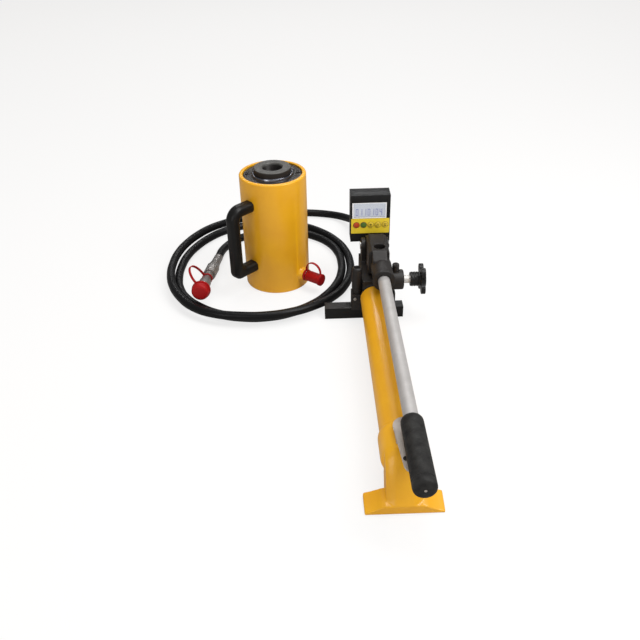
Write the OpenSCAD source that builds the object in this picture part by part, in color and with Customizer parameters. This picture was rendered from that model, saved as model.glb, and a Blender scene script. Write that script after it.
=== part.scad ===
// Anchor pull tester: hollow ram, hand pump with digital gauge, and the hose between them
// Frame: the ram's centre hole is the Z axis, the floor is z = 0, the pump lies along Y

/* [Ram] */
// Outside diameter of the ram body
ram_od = 114; // [110:1:122]
// Height of the ram body
ram_h = 205; // [195:1:230]
// Bore of the ram body
ram_bore_d = 92; // [88:1:94]
// Thickness of the closed base
base_t = 18; // [16:1:22]
// Hole through the middle of the ram
hole_d = 34; // [30:1:35]
// Outside diameter of the centre tube
core_od = 42; // [41:1:46]
// Diameter of the hollow plunger
rod_d = 63.5; // [60:0.5:66]
// How far the saddle stands above the rim when retracted
rod_rise = 10; // [6:1:14]
// Stroke of the plunger
stroke = 80; // [60:5:80]
// Diameter of the gland nut
gland_d = 101; // [100:1:104]
// Height of the gland nut
gland_h = 22; // [20:1:24]

/* [Carry handle] */
// Turn of the carry handle round the ram
handle_az = -134.6; // [-140:0.1:-125]
// How far the handle reaches from the ram
handle_reach = 48; // [44:0.5:60]
// Overall height of the handle
handle_h = 132; // [120:1:150]
// Width of the handle bar
handle_w = 21; // [18:1:26]
// Height of the handle's lower end above the floor
handle_z0 = 40; // [36:1:46]

/* [Pump] */
// Distance from the ram to the pump along X
pump_x = 162; // [155:1:175]
// Height of the reservoir tube's axis
tube_z = 46; // [44:1:52]
// Outside diameter of the reservoir tube
tube_od = 46; // [44:1:50]
// Wall of the reservoir tube
tube_wall = 3; // [2.5:0.5:4]
// Length of the reservoir tube
tube_len = 347; // [300:1:360]
// Width of the foot plate
foot_w = 98; // [90:1:110]
// Length of the cross bar
bar_len = 131; // [120:1:140]
// Width and height of the cross bar
bar_t = 20; // [16:1:22]

/* [Lever] */
// Outside diameter of the lever tube
lever_d = 19; // [18:1:21]
// Wall of the lever tube
lever_wall = 2.5; // [2:0.5:3]
// Length of the lever tube
lever_len = 479; // [440:1:520]
// Diameter of the rubber grip
grip_d = 28.5; // [26:0.5:30]
// Length of the rubber grip
grip_len = 116; // [100:1:130]
// Arm from the pivot pin to the drive pin
crank = 38; // [36:0.5:40]
// Full swing of the lever in degrees
swing = 50; // [40:1:52]

/* [Gauge] */
// Width of the gauge case
case_w = 67; // [66:1:76]
// Height of the gauge case
case_h = 85; // [82:1:92]
// Depth of the gauge case
case_d = 30; // [26:1:34]
// Diameter of the keys
key_d = 9.4; // [8:0.2:10]
// Travel of the keys
key_travel = 0.6; // [0.4:0.1:0.8]

/* [Release valve] */
// Diameter of the star knob
knob_d = 54; // [48:1:60]
// Thickness of the star knob
knob_t = 8.5; // [8:0.5:12]

/* [Hose] */
// Outside diameter of the hose
hose_d = 15; // [12:0.5:15]

/* [Show] */
// Sub-part to draw

/* [Hidden] */
cut = 1;
seat = 0.05;
run = 0.05;
near = 0.3;
round_fn = 96;
mid_fn = 64;
small_fn = 32;

// Ram values
ram_r = ram_od / 2;
bore_r = ram_bore_d / 2;
hole_r = hole_d / 2;
core_r = core_od / 2;
rod_r = rod_d / 2;
gland_r = gland_d / 2;
rim_drop = 2;
rim_c = 1.5;
foot_c = 1;
gland_z1 = ram_h - rim_drop;
gland_z0 = gland_z1 - gland_h;
oil_space = 12;
piston_t = 20;
piston_z0 = base_t + oil_space;
piston_z1 = piston_z0 + piston_t;
piston_r = bore_r - run;
seal_h = 6;
seal_d = 4;
seal_z0 = piston_z0 + (piston_t - seal_h) / 2;
seal_z1 = seal_z0 + seal_h;
core_gap = 3;
saddle_t = 12;
spigot_r = 26;
spigot_h = 12;
saddle_z1 = ram_h + rod_rise;
rod_z1 = saddle_z1 - saddle_t;
spigot_z0 = rod_z1 - spigot_h;
core_z1 = spigot_z0 - core_gap;
saddle_c = 1.2;
wiper_h = 6;
wiper_lip = 3;
bearing_h = 10;
ring_t = 4.2;
gland_slack = 0.8;
spanner_d = 6;
spanner_h = 6;
spanner_r = (gland_r + rod_r) / 2 + ring_t / 2;
spring_wire = 6.5;
spring_turns = 5;
spring_flat = 1;
spring_r = (rod_r + bore_r) / 2;

// Port values
port_az = -38;
port_up = 2.5;
port_z = (base_t + piston_z0) / 2 + port_up;
port_d = 5;
boss_r = 10;
boss_h = 7;
boss_sink = 4;
nip_thread_r = 6.5;
nip_hex_h = 4;
nip_hex_r = 9;
nip_r = 7.2;
nip_len = 28;
nip_hole_r = 3;
nip_x0 = ram_r + boss_h;
nip_x1 = nip_x0 + nip_hex_h;
nip_x2 = nip_x1 + nip_len;
cap_wall = 2;
cap_slack = 0.3;
cap_end = 3.5;
cap_gap = 0.5;
strap_ring_h = 4;
strap_wall = 1.1;
strap_w = 4;
strap_t = 1.6;
strap_steps = 18;
port_bow_share = 0.51;
coupler_bow_share = 0.502;
cap_x0 = nip_x1 + 2 * cap_gap;
cap_x1 = nip_x2 + cap_gap + cap_end;
cap_r = nip_r + cap_slack + cap_wall;

// Carry handle values
arm_h = 19;
bar_depth = 19;
handle_top_r = 24;
handle_low_r = 11;
handle_in_r = 7;
handle_z1 = handle_z0 + handle_h;
handle_r1 = ram_r + handle_reach;
handle_r0 = handle_r1 - bar_depth;
hs_r = 5;
hs_grip = 28;
hs_bite = 7;
hs_z = [handle_z0 + arm_h / 2, handle_z1 - arm_h / 2];
hex_key_r = 3.4;

// Pump values
tube_r = tube_od / 2;
tube_in = tube_r - tube_wall;
head_y0 = -158;
head_y1 = -20;
head_left = 19;
head_right = 30;
head_x0 = pump_x - head_left;
head_x1 = pump_x + head_right;
head_z0 = bar_t;
head_z1 = 75;
flange_t = 5;
flange_r = tube_r;
spigot_len = 12;
plug_gap = 0.1;
plug_r = tube_in - plug_gap;
oring_d = 2;
oring_w = 3;
oring_in = 4;
rear_y = -56;
rear_left = 9;
rear_right = 6;
rear_x0 = head_x0 + rear_left;
rear_x1 = head_x1 - rear_right;
crank_off = 8.5;
crank_x = pump_x + crank_off;
pivot_y = -74;
pivot_z = 100;
half_swing = swing / 2;
drive_y = pivot_y - crank * cos(half_swing);
drive_z = pivot_z - crank * sin(half_swing);
throw = crank * (1 - cos(half_swing));
ram_pump_y = drive_y - throw / 2;
pivot_r = 5;
drive_r = 4;
lug_left = 7.5;
lug_right = 3.6;
lug_gap = 0.4;
lug_r = 13;
socket_w = 34;
socket_x0 = crank_x - socket_w / 2;
socket_x1 = crank_x + socket_w / 2;
pin_over = 1.5;
plg_r = 6;
plg_z0 = 36;
eye_z0 = 77;
eye_w = 12;
eye_len = 22;
eye_slack = 0.7;
eye_over = 6;
eye_top = drive_z + drive_r + eye_over;
pocket_gap = 0.6;
gl_r = 11;
gl_h = 14;
gl_rise = 1;
bore_floor = 30;
oil_r = 2.5;
suction_low = 12;
suction_z = tube_z - suction_low;
outlet_off = 4;
outlet_x = pump_x + outlet_off;
outlet_z = 50;
outlet_r = 8;
outlet_deep = 14;

// Cross bar values
bar_y0 = -145;
bar_left = 81;
bar_x0 = pump_x - bar_left;
bar_edge = 1;
bs_r = 4;
bs_head_r = 7;
bs_head_h = 5;
bs_sink = 1;
bs_len = 14;
bs_half = 14;
web_t = 5;
web_half = 10;
web_top = 50;

// Reservoir and foot values
tube_y0 = head_y0;
tube_y1 = head_y0 - tube_len;
ring_r = 26.5;
ring_len = 46;
ring_lap = 18;
ring_c = 3;
ring_y0 = tube_y1 + ring_lap;
ring_y1 = ring_y0 - ring_len;
neck_w = 44;
foot_run = 43;
plate_y1 = ring_y1 - foot_run;
plate_len = 32;
plate_t = 6;
wing_top = 18;
wing_c = 2;
neck_drop_shares = [[0, 0.98], [0.25, 0.84], [0.55, 0.55], [0.78, 0.26], [1, 0.13]];
pick_r = 3;
pick_len = 250;
filter_r = 7;
filter_len = 26;

// Side block and filler values
blk_w = 18;
blk_over = 6;
blk_len = 22;
blk_x0 = head_x0 - blk_w;
blk_y0 = bar_y0 - blk_over;
blk_y1 = blk_y0 + blk_len;
blk_top = 48.5;
fill_in = 7.5;
fill_x = head_x0 - fill_in;
fill_y = -140;
fill_r = 7.2;
fill_top = 95;
fill_neck_r = 4;
fill_neck_h = 10;
fill_hex_r = 4.4;
fill_hex_h = 6;
drain_in = 5.5;
drain_x = blk_x0 + drain_in;
drain_r = 2;
drain_rim = 1;
drain_head = 2;
drain_len = 6;
drain_z = 42;

// Lever values
lever_r = lever_d / 2;
lever_off = 3;
lever_x = crank_x + lever_off;
lever_z = 94;
grip_r = grip_d / 2;
sock_y0 = -186;
sock_step_y = -134;
barrel_r = 17;
sock_z0 = lever_z - barrel_r;
sock_rear_z1 = 121;
sock_end_r = 16;
sock_c = 5;
ramp_run = 14;
ramp_rise = 12;
lip_len = 6;
lip_over = 1;
lever_back = 5;
lever_y0 = sock_step_y - lever_back;
lever_y1 = lever_y0 - lever_len;
grip_end = 12;
grip_y1 = lever_y1 - grip_end;
grip_y0 = grip_y1 + grip_len;
grip_round = 9;
view_r = 9;
view_off = 1.5;
view_x = crank_x + view_off;
view_y = -119;
mouth_c = 1.6;
ls_r = 4;
ls_len = 8;
ls_y = -160;
ls_sink = 1;

// Lever rest values
rest_off = 7;
rest_x = pump_x + rest_off;
rest_half = 17;
rest_t = 2;
rest_over = -3;
rest_y0 = ring_y0 + rest_over;
rest_len = 100;
rest_z1 = lever_z - grip_r - near;
rest_z0 = rest_z1 - rest_t;
rest_pad_x = 8;
rest_pad_y = 30;
rest_dot_r = 2.2;
rest_dot_off = 8;
rest_dot_x = rest_x - rest_dot_off;

// Release valve values
rel_y = -140;
rel_z = 70;
rel_r = 16.5;
rel_len = 18;
rel_x0 = head_x1;
rel_x1 = rel_x0 + rel_len;
rel_c = 1.5;
stem_r = 6.5;
needle_r = 3;
needle_tip = 6;
stem_in = 9;
stem_x0 = rel_x1 - stem_in;
stem_open = 1.6;
needle_tail = 8;
stem_show = 11;
hub_x0 = rel_x1 + stem_show;
hub_len = 16.5;
hub_r = 11.5;
knob_lobes = 4;
knob_turn = 33.5;
lobe_r = 9;
lobe_low = 1.6;
knob_r = knob_d / 2;
knob_x0 = hub_x0 + hub_len;
knob_x1 = knob_x0 + knob_t;
web_r = knob_r - lobe_r;
spoke_w = 13;
knob_c = 1.5;
stem_bite = 12;
bleed_in = 5;
bleed_x = rel_x0 + bleed_in;
bleed_r = 5.2;
bleed_top = 99;
bleed_rib = 0.6;
bleed_ribs = 5;
bleed_neck_r = 3;
bleed_deep = 10;

// Gauge values
case_off = 1;
case_mid = pump_x + case_off;
case_x0 = case_mid - case_w / 2;
case_y0 = -48;
case_y1 = case_y0 + case_d;
case_z0 = 93.5;
case_z1 = case_z0 + case_h;
case_wall = 2.5;
back_t = 2;
band_up = 16;
band_z0 = case_z0 + band_up;
band_h = 27;
band_t = 0.6;
band_in = 1;
band_gap = 2;
lcd_w = 55;
lcd_drop = 14;
lcd_z0 = band_z0 + band_h + band_gap;
lcd_h = case_z1 - lcd_drop - lcd_z0;
lcd_off = 1.5;
lcd_x0 = case_mid - lcd_off - lcd_w / 2;
lcd_ledge = 2;
lcd_t = 3;
key_r = key_d / 2;
key_up = 15.5;
key_z = band_z0 + key_up;
key_steps = 4;
key_in_left = 10;
key_in_right = 8.4;
key_pitch = (case_w - key_in_left - key_in_right) / key_steps;
key_x = [for (i = [0:key_steps]) case_x0 + key_in_left + i * key_pitch];
key_slack = 0.35;
key_rise = 1;
key_lip = 1;
key_lip_t = 1.2;
pcb_t = 1.6;
pcb_in = 3;
pcb_gap = 1;
pcb_y0 = case_y0 + case_wall + key_lip_t + key_travel + near + pcb_gap + lcd_t;
batt_w = 44;
batt_less = 1;
batt_h = lcd_h - batt_less;
batt_t = 12;
ad_x = outlet_x;
ad_y = case_y0 + case_d / 2;
ad_thread_r = 8;
ad_deep = 12;
ad_hex_r = 12.5;
ad_hex_h = 12;
ad_neck_r = 6;
ad_hole_r = 2.5;
sens_r = 9;
sens_h = 16;
cs_r = 1.5;
cs_head_r = 2.8;
cs_head_h = 1.5;
cs_len = 9;
cs_in = 5.5;

// Hose fitting and coupler values
hose_r = hose_d / 2;
hose_sides = 10;
fit_hex_r = 12.6;
fit_hex_h = 12;
fer_r = 9;
fer_len = 34;
fer_rib = 0.8;
fer_ribs = 4;
hose_y0 = head_y1 + fit_hex_h + fer_len;
cf_r = 8.6;
cf_len = 46;
cb_hex_r = 11.4;
cb_hex_h = 11;
cb_r = 8;
cb_nose_r = 10.2;
cb_len = 104;
cb_nose = 42;
sl_in_r = cb_r + run;
sl_r = 11.2;
sl_len = 28;
hcap_wall = 4.5;
hcap_round = 6;
hcap_len = 16.5;
hcap_end = 4;
hcap_lap = 12;
hcap_r = cb_nose_r + cap_slack + hcap_wall;

// Route of the hose, in round numbers
route = [
  [166, 26, 50], [166, 60, 50], [165, 98, 46], [161, 136, 37], [153, 172, 26], [141, 204, 16],
  [122, 230, 10], [92, 246, 8], [56, 253, 8], [18, 255, 8], [-20, 251, 8], [-56, 241, 9],
  [-88, 224, 11], [-115, 202, 14], [-140, 175, 17], [-160, 146, 18.5], [-178, 112, 18.5], [-190, 74, 18.5],
  [-195, 34, 18.5], [-194, -8, 18.5], [-185, -50, 18.5], [-167, -89, 18], [-140, -122.5, 17.3], [-102, -145.5, 18],
  [-58, -156, 18.5], [-14, -157, 18.5], [28, -147, 18], [66, -125, 16], [97, -93, 12], [119, -53, 9],
  [131, -10, 8], [134, 34, 8], [128, 80, 8], [111, 124, 8], [84, 161, 8], [48, 190, 8],
  [6, 206, 8], [-38, 208, 8], [-79, 198, 8], [-113, 178, 8], [-140, 150, 8], [-161, 115, 8],
  [-175, 77, 8], [-181, 36, 8], [-181, -4, 8], [-174, -43, 8], [-157, -79, 8], [-132, -107, 8],
  [-98, -131, 8], [-57, -144, 8], [-14, -145, 8], [26, -133, 8], [60, -111, 8], [86, -81, 8],
  [105, -45, 8], [115.5, -6, 8], [118, 34, 8], [113, 75, 8], [98, 112, 8], [72, 142, 8],
  [37, 162, 8], [-3, 170, 8], [-41, 166, 8], [-70, 151, 8], [-91, 132, 8], [-103, 112, 8],
  [-109, 94, 9.5], [-113, 56, 14.5]];
last = len(route) - 1;
coup_dir = route[last] - route[last - 1];
coup_az = atan2(coup_dir[1], coup_dir[0]);
coup_pitch = asin(coup_dir[2] / norm(coup_dir));
strap_tilt = 35;

function unit(v) = v / norm(v);
function tangent(p, i) = unit(p[min(i + 1, len(p) - 1)] - p[max(i - 1, 0)]);
function ring_points(p, i, r, n) =
  let (t = tangent(p, i), s = unit(cross(t, [0, 0, 1])), u = cross(s, t))
  [for (k = [0:n - 1]) p[i] + r * cos(360 * k / n) * s + r * sin(360 * k / n) * u];

// A round tube swept along a list of points
module swept(p, r, n) {
  rings = len(p);
  pts = [for (i = [0:rings - 1]) each ring_points(p, i, r, n)];
  sides = [for (i = [0:rings - 2], k = [0:n - 1]) each [
    [i * n + k, i * n + (k + 1) % n, (i + 1) * n + k],
    [i * n + (k + 1) % n, (i + 1) * n + (k + 1) % n, (i + 1) * n + k]]];
  lid0 = [for (k = [1:n - 2]) [0, k + 1, k]];
  lid1 = [for (k = [1:n - 2]) [(rings - 1) * n, (rings - 1) * n + k, (rings - 1) * n + k + 1]];
  polyhedron(points = pts, faces = concat(sides, lid0, lid1));
}

// Least gap between strands that lie more than a few diameters apart along the hose
strand_skip = 6;
function seg_gap(a, b, c) =
  let (d = b - a, t = max(0, min(1, ((c - a) * d) / (d * d)))) norm(c - a - t * d);
least_gap = min([for (i = [0:last], j = [0:last - 1])
  if (abs(i - j) > strand_skip && abs(i - j - 1) > strand_skip)
    seg_gap(route[j], route[j + 1], route[i])]) - hose_d;
hose_len = [for (i = 0, s = 0; i <= last; s = s + (i < last ? norm(route[i + 1] - route[i]) : 0),
  i = i + 1) s];
echo(hose_least_gap = least_gap, hose_length = hose_len[last]);

// A round bar or hole along Y
module along_y(x, y, z, r, h, fn = mid_fn) {
  translate([x, y, z]) rotate([-90, 0, 0]) cylinder(r = r, h = h, $fn = fn);
}

// A round bar or hole along X
module along_x(x, y, z, r, h, fn = mid_fn) {
  translate([x, y, z]) rotate([0, 90, 0]) cylinder(r = r, h = h, $fn = fn);
}

// A washer between two radii
module washer(r0, r1, h) {
  difference() {
    cylinder(r = r1, h = h, $fn = round_fn);
    translate([0, 0, -cut]) cylinder(r = r0, h = h + 2 * cut, $fn = round_fn);
  }
}

// Axis of the ram's port, pointing out
module at_port() {
  rotate([0, 0, port_az]) translate([0, 0, port_z]) rotate([0, 90, 0]) children();
}

// Axis of the coupler, pointing to its cap
module at_coupler() {
  translate(route[last]) rotate([0, 0, coup_az]) rotate([0, 90 - coup_pitch, 0]) children();
}

module handle_holes(r) {
  for (z = hs_z) rotate([0, 0, handle_az]) along_x(ram_r - hs_bite, 0, z, r, hs_bite + cut);
}

// Ram
module ram_body() {
  color("gold") difference() {
    union() {
      rotate_extrude($fn = round_fn) polygon([
        [core_r + seat, 0], [ram_r - foot_c, 0], [ram_r, foot_c], [ram_r, ram_h - rim_c],
        [ram_r - rim_c, ram_h], [gland_r, ram_h], [gland_r, gland_z0], [bore_r, gland_z0],
        [bore_r, base_t], [core_r + seat, base_t]]);
      at_port() translate([0, 0, ram_r - boss_sink]) cylinder(r = boss_r, h = boss_sink + boss_h, $fn = mid_fn);
    }
    at_port() translate([0, 0, bore_r - cut]) cylinder(r = port_d / 2, h = ram_r - bore_r + 2 * cut, $fn = small_fn);
    at_port() translate([0, 0, ram_r]) cylinder(r = nip_thread_r + seat, h = boss_h + cut, $fn = mid_fn);
    handle_holes(hs_r + seat);
  }
}

module centre_tube() {
  color("silver") washer(hole_r, core_r, core_z1);
}

module ram_plunger() {
  color("gainsboro") rotate_extrude($fn = round_fn) polygon([
    [core_r + run, piston_z0], [piston_r, piston_z0], [piston_r, seal_z0],
    [piston_r - seal_d, seal_z0], [piston_r - seal_d, seal_z1], [piston_r, seal_z1],
    [piston_r, piston_z1], [rod_r, piston_z1], [rod_r, rod_z1], [spigot_r + seat, rod_z1],
    [spigot_r + seat, spigot_z0], [core_r + run, spigot_z0], [core_r + run, seal_z1],
    [core_r + run + seal_d, seal_z1], [core_r + run + seal_d, seal_z0],
    [core_r + run, seal_z0]]);
}

module plunger_saddle() {
  color("dimgray") rotate_extrude($fn = round_fn) polygon([
    [hole_r, spigot_z0 + near], [spigot_r, spigot_z0 + near], [spigot_r, rod_z1], [rod_r, rod_z1],
    [rod_r, saddle_z1 - saddle_c], [rod_r - saddle_c, saddle_z1],
    [hole_r + saddle_c, saddle_z1], [hole_r, saddle_z1 - saddle_c]]);
}

module piston_seals() {
  color("black") translate([0, 0, seal_z0 + seat]) {
    washer(piston_r - seal_d + seat, bore_r - run, seal_h - 2 * seat);
    washer(core_r + run, core_r + run + seal_d - seat, seal_h - 2 * seat);
  }
}

spring_z0 = piston_z1 + spring_wire / 2 + near;
spring_z1 = gland_z0 - spring_wire / 2 - near;
spring_all = spring_turns + 2 * spring_flat;
coil_rings = 12;
coil_sides = 6;
function coil_rise(t) = max(0, min(1, (t - spring_flat) / spring_turns));
coil_gap = 0.5;
closed_step = spring_wire + coil_gap;
function coil_z(t) = spring_z0 + min(t, spring_flat) * closed_step
  + coil_rise(t) * (spring_z1 - spring_z0 - 2 * spring_flat * closed_step)
  + max(0, t - spring_turns - spring_flat) * closed_step;
module return_spring() {
  color("steelblue") swept([for (i = [0:spring_all * coil_rings]) let (t = i / coil_rings)
    [spring_r * cos(360 * t), spring_r * sin(360 * t), coil_z(t)]], spring_wire / 2, coil_sides);
}

module gland_nut() {
  color("slategray") difference() {
    rotate_extrude($fn = round_fn) polygon([
      [rod_r + ring_t, gland_z0], [gland_r - seat, gland_z0], [gland_r - seat, gland_z1 - rim_c],
      [gland_r - seat - rim_c, gland_z1], [rod_r + ring_t, gland_z1],
      [rod_r + ring_t, gland_z1 - wiper_h], [rod_r + gland_slack, gland_z1 - wiper_h],
      [rod_r + gland_slack, gland_z0 + bearing_h], [rod_r + ring_t, gland_z0 + bearing_h]]);
    for (s = [-1, 1]) translate([s * spanner_r, 0, gland_z1 - spanner_h]) cylinder(r = spanner_d / 2, h = spanner_h + cut, $fn = small_fn);
  }
}

module rod_bearing() {
  color("peru") translate([0, 0, gland_z0]) washer(rod_r + run, rod_r + ring_t - seat, bearing_h);
}

module rod_wiper() {
  color("black") rotate_extrude($fn = round_fn) polygon([
    [rod_r + run, gland_z1 - wiper_h], [rod_r + ring_t - seat, gland_z1 - wiper_h],
    [rod_r + ring_t - seat, gland_z1], [rod_r + run + wiper_lip, gland_z1 + wiper_lip],
    [rod_r + run, gland_z1 + wiper_lip]]);
}

module ram_nipple() {
  color("silver") at_port() difference() {
    union() {
      translate([0, 0, ram_r + near]) cylinder(r = nip_thread_r, h = boss_h, $fn = mid_fn);
      translate([0, 0, nip_x0]) cylinder(r = nip_hex_r, h = nip_hex_h, $fn = 6);
      translate([0, 0, nip_x1 - cut]) cylinder(r = nip_r, h = nip_len + cut, $fn = mid_fn);
    }
    translate([0, 0, ram_r - cut]) cylinder(r = nip_hole_r, h = nip_x2 - ram_r + 2 * cut, $fn = small_fn);
  }
}

// A closed cap: mouth at z = 0, closed end at z = len
module cap_shell(r_in, r_out, len, end, soft) {
  difference() {
    rotate_extrude($fn = mid_fn) {
      square([r_out, len - soft]);
      square([r_out - soft, len]);
      intersection() {
        translate([r_out - soft, len - soft]) circle(r = soft, $fn = mid_fn);
        translate([r_out - soft, len - soft]) square([soft, soft]);
      }
    }
    translate([0, 0, -cut]) cylinder(r = r_in, h = len - end + cut, $fn = mid_fn);
  }
}

// A strap with a ring at each end and a bow between them; the bow stands towards -X
module strap(r_a, r_b, z_a, z_b, bow) {
  half = (z_b - z_a) / 2;
  rise = sqrt(bow * bow - half * half);
  turn = asin(rise / bow);
  h_a = r_a + strap_wall / 2;
  h_b = r_b + strap_wall / 2;
  outer = [for (i = [0:strap_steps]) let (a = 180 + turn - (180 + 2 * turn) * i / strap_steps)
    [half + bow * cos(a), rise + bow * sin(a) + h_a + (h_b - h_a) * i / strap_steps]];
  inner = [for (i = [strap_steps:-1:0]) let (a = 180 + turn - (180 + 2 * turn) * i / strap_steps)
    [half + (bow - strap_t) * cos(a), rise + (bow - strap_t) * sin(a) + h_a + (h_b - h_a) * i / strap_steps]];
  difference() {
    union() {
      translate([0, 0, z_a - strap_ring_h / 2]) cylinder(r = r_a + strap_wall, h = strap_ring_h, $fn = mid_fn);
      translate([0, 0, z_b - strap_ring_h / 2]) cylinder(r = r_b + strap_wall, h = strap_ring_h, $fn = mid_fn);
      rotate([0, -90, 0]) translate([z_a, 0, 0]) rotate([90, 0, 0]) translate([0, 0, -strap_w / 2])
        linear_extrude(height = strap_w) polygon(concat(outer, inner));
    }
    translate([0, 0, z_a - strap_ring_h]) cylinder(r = r_a, h = 2 * strap_ring_h, $fn = mid_fn);
    translate([0, 0, z_b - strap_ring_h]) cylinder(r = r_b, h = 2 * strap_ring_h, $fn = mid_fn);
  }
}

module ram_cap() {
  color("crimson") at_port() translate([0, 0, cap_x0]) cap_shell(nip_r + cap_slack, cap_r, cap_x1 - cap_x0, cap_end, cap_wall);
}

cap_strap_a = nip_x0 + near + strap_ring_h / 2;
cap_strap_b = cap_x1 - strap_ring_h / 2 - cap_gap;
module ram_cap_strap() {
  color("crimson") at_port() strap(nip_hex_r + near, cap_r + seat, cap_strap_a, cap_strap_b, port_bow_share * (cap_strap_b - cap_strap_a));
}

// What lies outside a rounded corner; the corner's centre is at x, z and it opens towards sx, sz
module corner(x, z, r, sx, sz) {
  translate([x, 0, z]) difference() {
    translate([sx < 0 ? -r - cut : 0, -handle_w, sz < 0 ? -r - cut : 0]) cube([r + cut, 2 * handle_w, r + cut]);
    along_y(0, -handle_w - cut, 0, r, 2 * (handle_w + cut), round_fn);
  }
}

// The corners of the opening stay filled up to the arc
module inner_corner(z, sz) {
  translate([handle_r0 - handle_in_r, 0, z]) difference() {
    translate([0, -handle_w, sz < 0 ? -handle_in_r : 0]) cube([handle_in_r, 2 * handle_w, handle_in_r]);
    along_y(0, -handle_w - cut, 0, handle_in_r, 2 * (handle_w + cut), mid_fn);
  }
}

// Carry handle, drawn along +X and then turned round the ram
module carry_handle() {
  z0 = handle_z0;
  z1 = handle_z1;
  open_h = handle_h - 2 * arm_h;
  color("black") difference() {
    rotate([0, 0, handle_az]) difference() {
      translate([ram_r - boss_sink, -handle_w / 2, z0]) cube([handle_reach + boss_sink, handle_w, handle_h]);
      difference() {
        translate([ram_r - boss_sink - cut, -handle_w, z0 + arm_h]) cube([handle_r0 - ram_r + boss_sink + cut, 2 * handle_w, open_h]);
        inner_corner(z0 + arm_h + handle_in_r, -1);
        inner_corner(z1 - arm_h - handle_in_r, 1);
      }
      corner(handle_r1 - handle_top_r, z1 - handle_top_r, handle_top_r, 1, 1);
      corner(handle_r1 - handle_low_r, z0 + handle_low_r, handle_low_r, 1, -1);
    }
    translate([0, 0, -cut]) cylinder(r = ram_r, h = ram_h, $fn = round_fn);
    for (z = hs_z) rotate([0, 0, handle_az]) along_x(ram_r - cut, 0, z, hs_r + seat, hs_grip + cut);
  }
}

module handle_studs() {
  color("dimgray") for (z = hs_z) rotate([0, 0, handle_az])
    along_x(ram_r - hs_bite + near, 0, z, hs_r, hs_grip + hs_bite - 2 * near, small_fn);
}

// Hose and what is on it
module hose() {
  color("black") swept(route, hose_r, hose_sides);
}

module hose_fitting() {
  color("silver") difference() {
    union() {
      along_y(outlet_x, head_y1 - outlet_deep + near, outlet_z, outlet_r - seat, outlet_deep);
      along_y(outlet_x, head_y1, outlet_z, fit_hex_r, fit_hex_h, 6);
      along_y(outlet_x, head_y1 + fit_hex_h, outlet_z, fer_r, fer_len);
      for (i = [1:fer_ribs]) along_y(outlet_x, head_y1 + fit_hex_h + i * fer_len / (fer_ribs + 1), outlet_z, fer_r + fer_rib, fer_len / (fer_ribs + 1) / 2);
    }
    along_y(outlet_x, head_y1 - outlet_deep, outlet_z, oil_r, outlet_deep + fit_hex_h + fer_len / 2);
  }
}

module hose_ferrule() {
  color("silver") at_coupler() union() {
    cylinder(r = cf_r, h = cf_len, $fn = mid_fn);
    translate([0, 0, cf_len / 2]) cylinder(r = cf_r + fer_rib, h = cf_len / 4, $fn = mid_fn);
  }
}

cb_z0 = cf_len;
cb_z1 = cb_z0 + cb_hex_h;
cb_z2 = cb_z1 + cb_len;
sl_z0 = cb_z1 + near;
hcap_z0 = cb_z2 - hcap_lap;
hcap_z1 = hcap_z0 + hcap_len;
module coupler_body() {
  color("silver") at_coupler() difference() {
    union() {
      translate([0, 0, cb_z0]) cylinder(r = cb_hex_r, h = cb_hex_h, $fn = 6);
      translate([0, 0, cb_z1 - cut]) cylinder(r = cb_r, h = cb_len + cut, $fn = mid_fn);
      translate([0, 0, cb_z2 - cb_nose]) cylinder(r = cb_nose_r, h = cb_nose, $fn = mid_fn);
    }
    translate([0, 0, cb_z2 - cb_nose]) cylinder(r = nip_r + cap_slack, h = cb_nose + cut, $fn = mid_fn);
    translate([0, 0, cb_z0 + cb_hex_h / 2]) cylinder(r = nip_hole_r, h = cb_len, $fn = small_fn);
  }
}

module coupler_sleeve() {
  color("silver") at_coupler() translate([0, 0, sl_z0]) difference() {
    washer(sl_in_r, sl_r, sl_len);
    for (i = [1:3]) translate([0, 0, i * sl_len / 4]) washer(sl_r - fer_rib, sl_r + cut, fer_rib);
  }
}

module hose_cap() {
  color("crimson") at_coupler() translate([0, 0, hcap_z0]) cap_shell(cb_nose_r + cap_slack, hcap_r, hcap_len, hcap_end, hcap_round);
}

hs_stand = 17;
hs_a = sl_z0 + sl_len + hs_stand;
hs_b = hcap_z0 + strap_ring_h / 2 + cap_gap;
module hose_cap_strap() {
  color("crimson") at_coupler() rotate([0, 0, strap_tilt]) strap(cb_r + near, hcap_r + seat, hs_a, hs_b, coupler_bow_share * (hs_b - hs_a));
}

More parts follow.
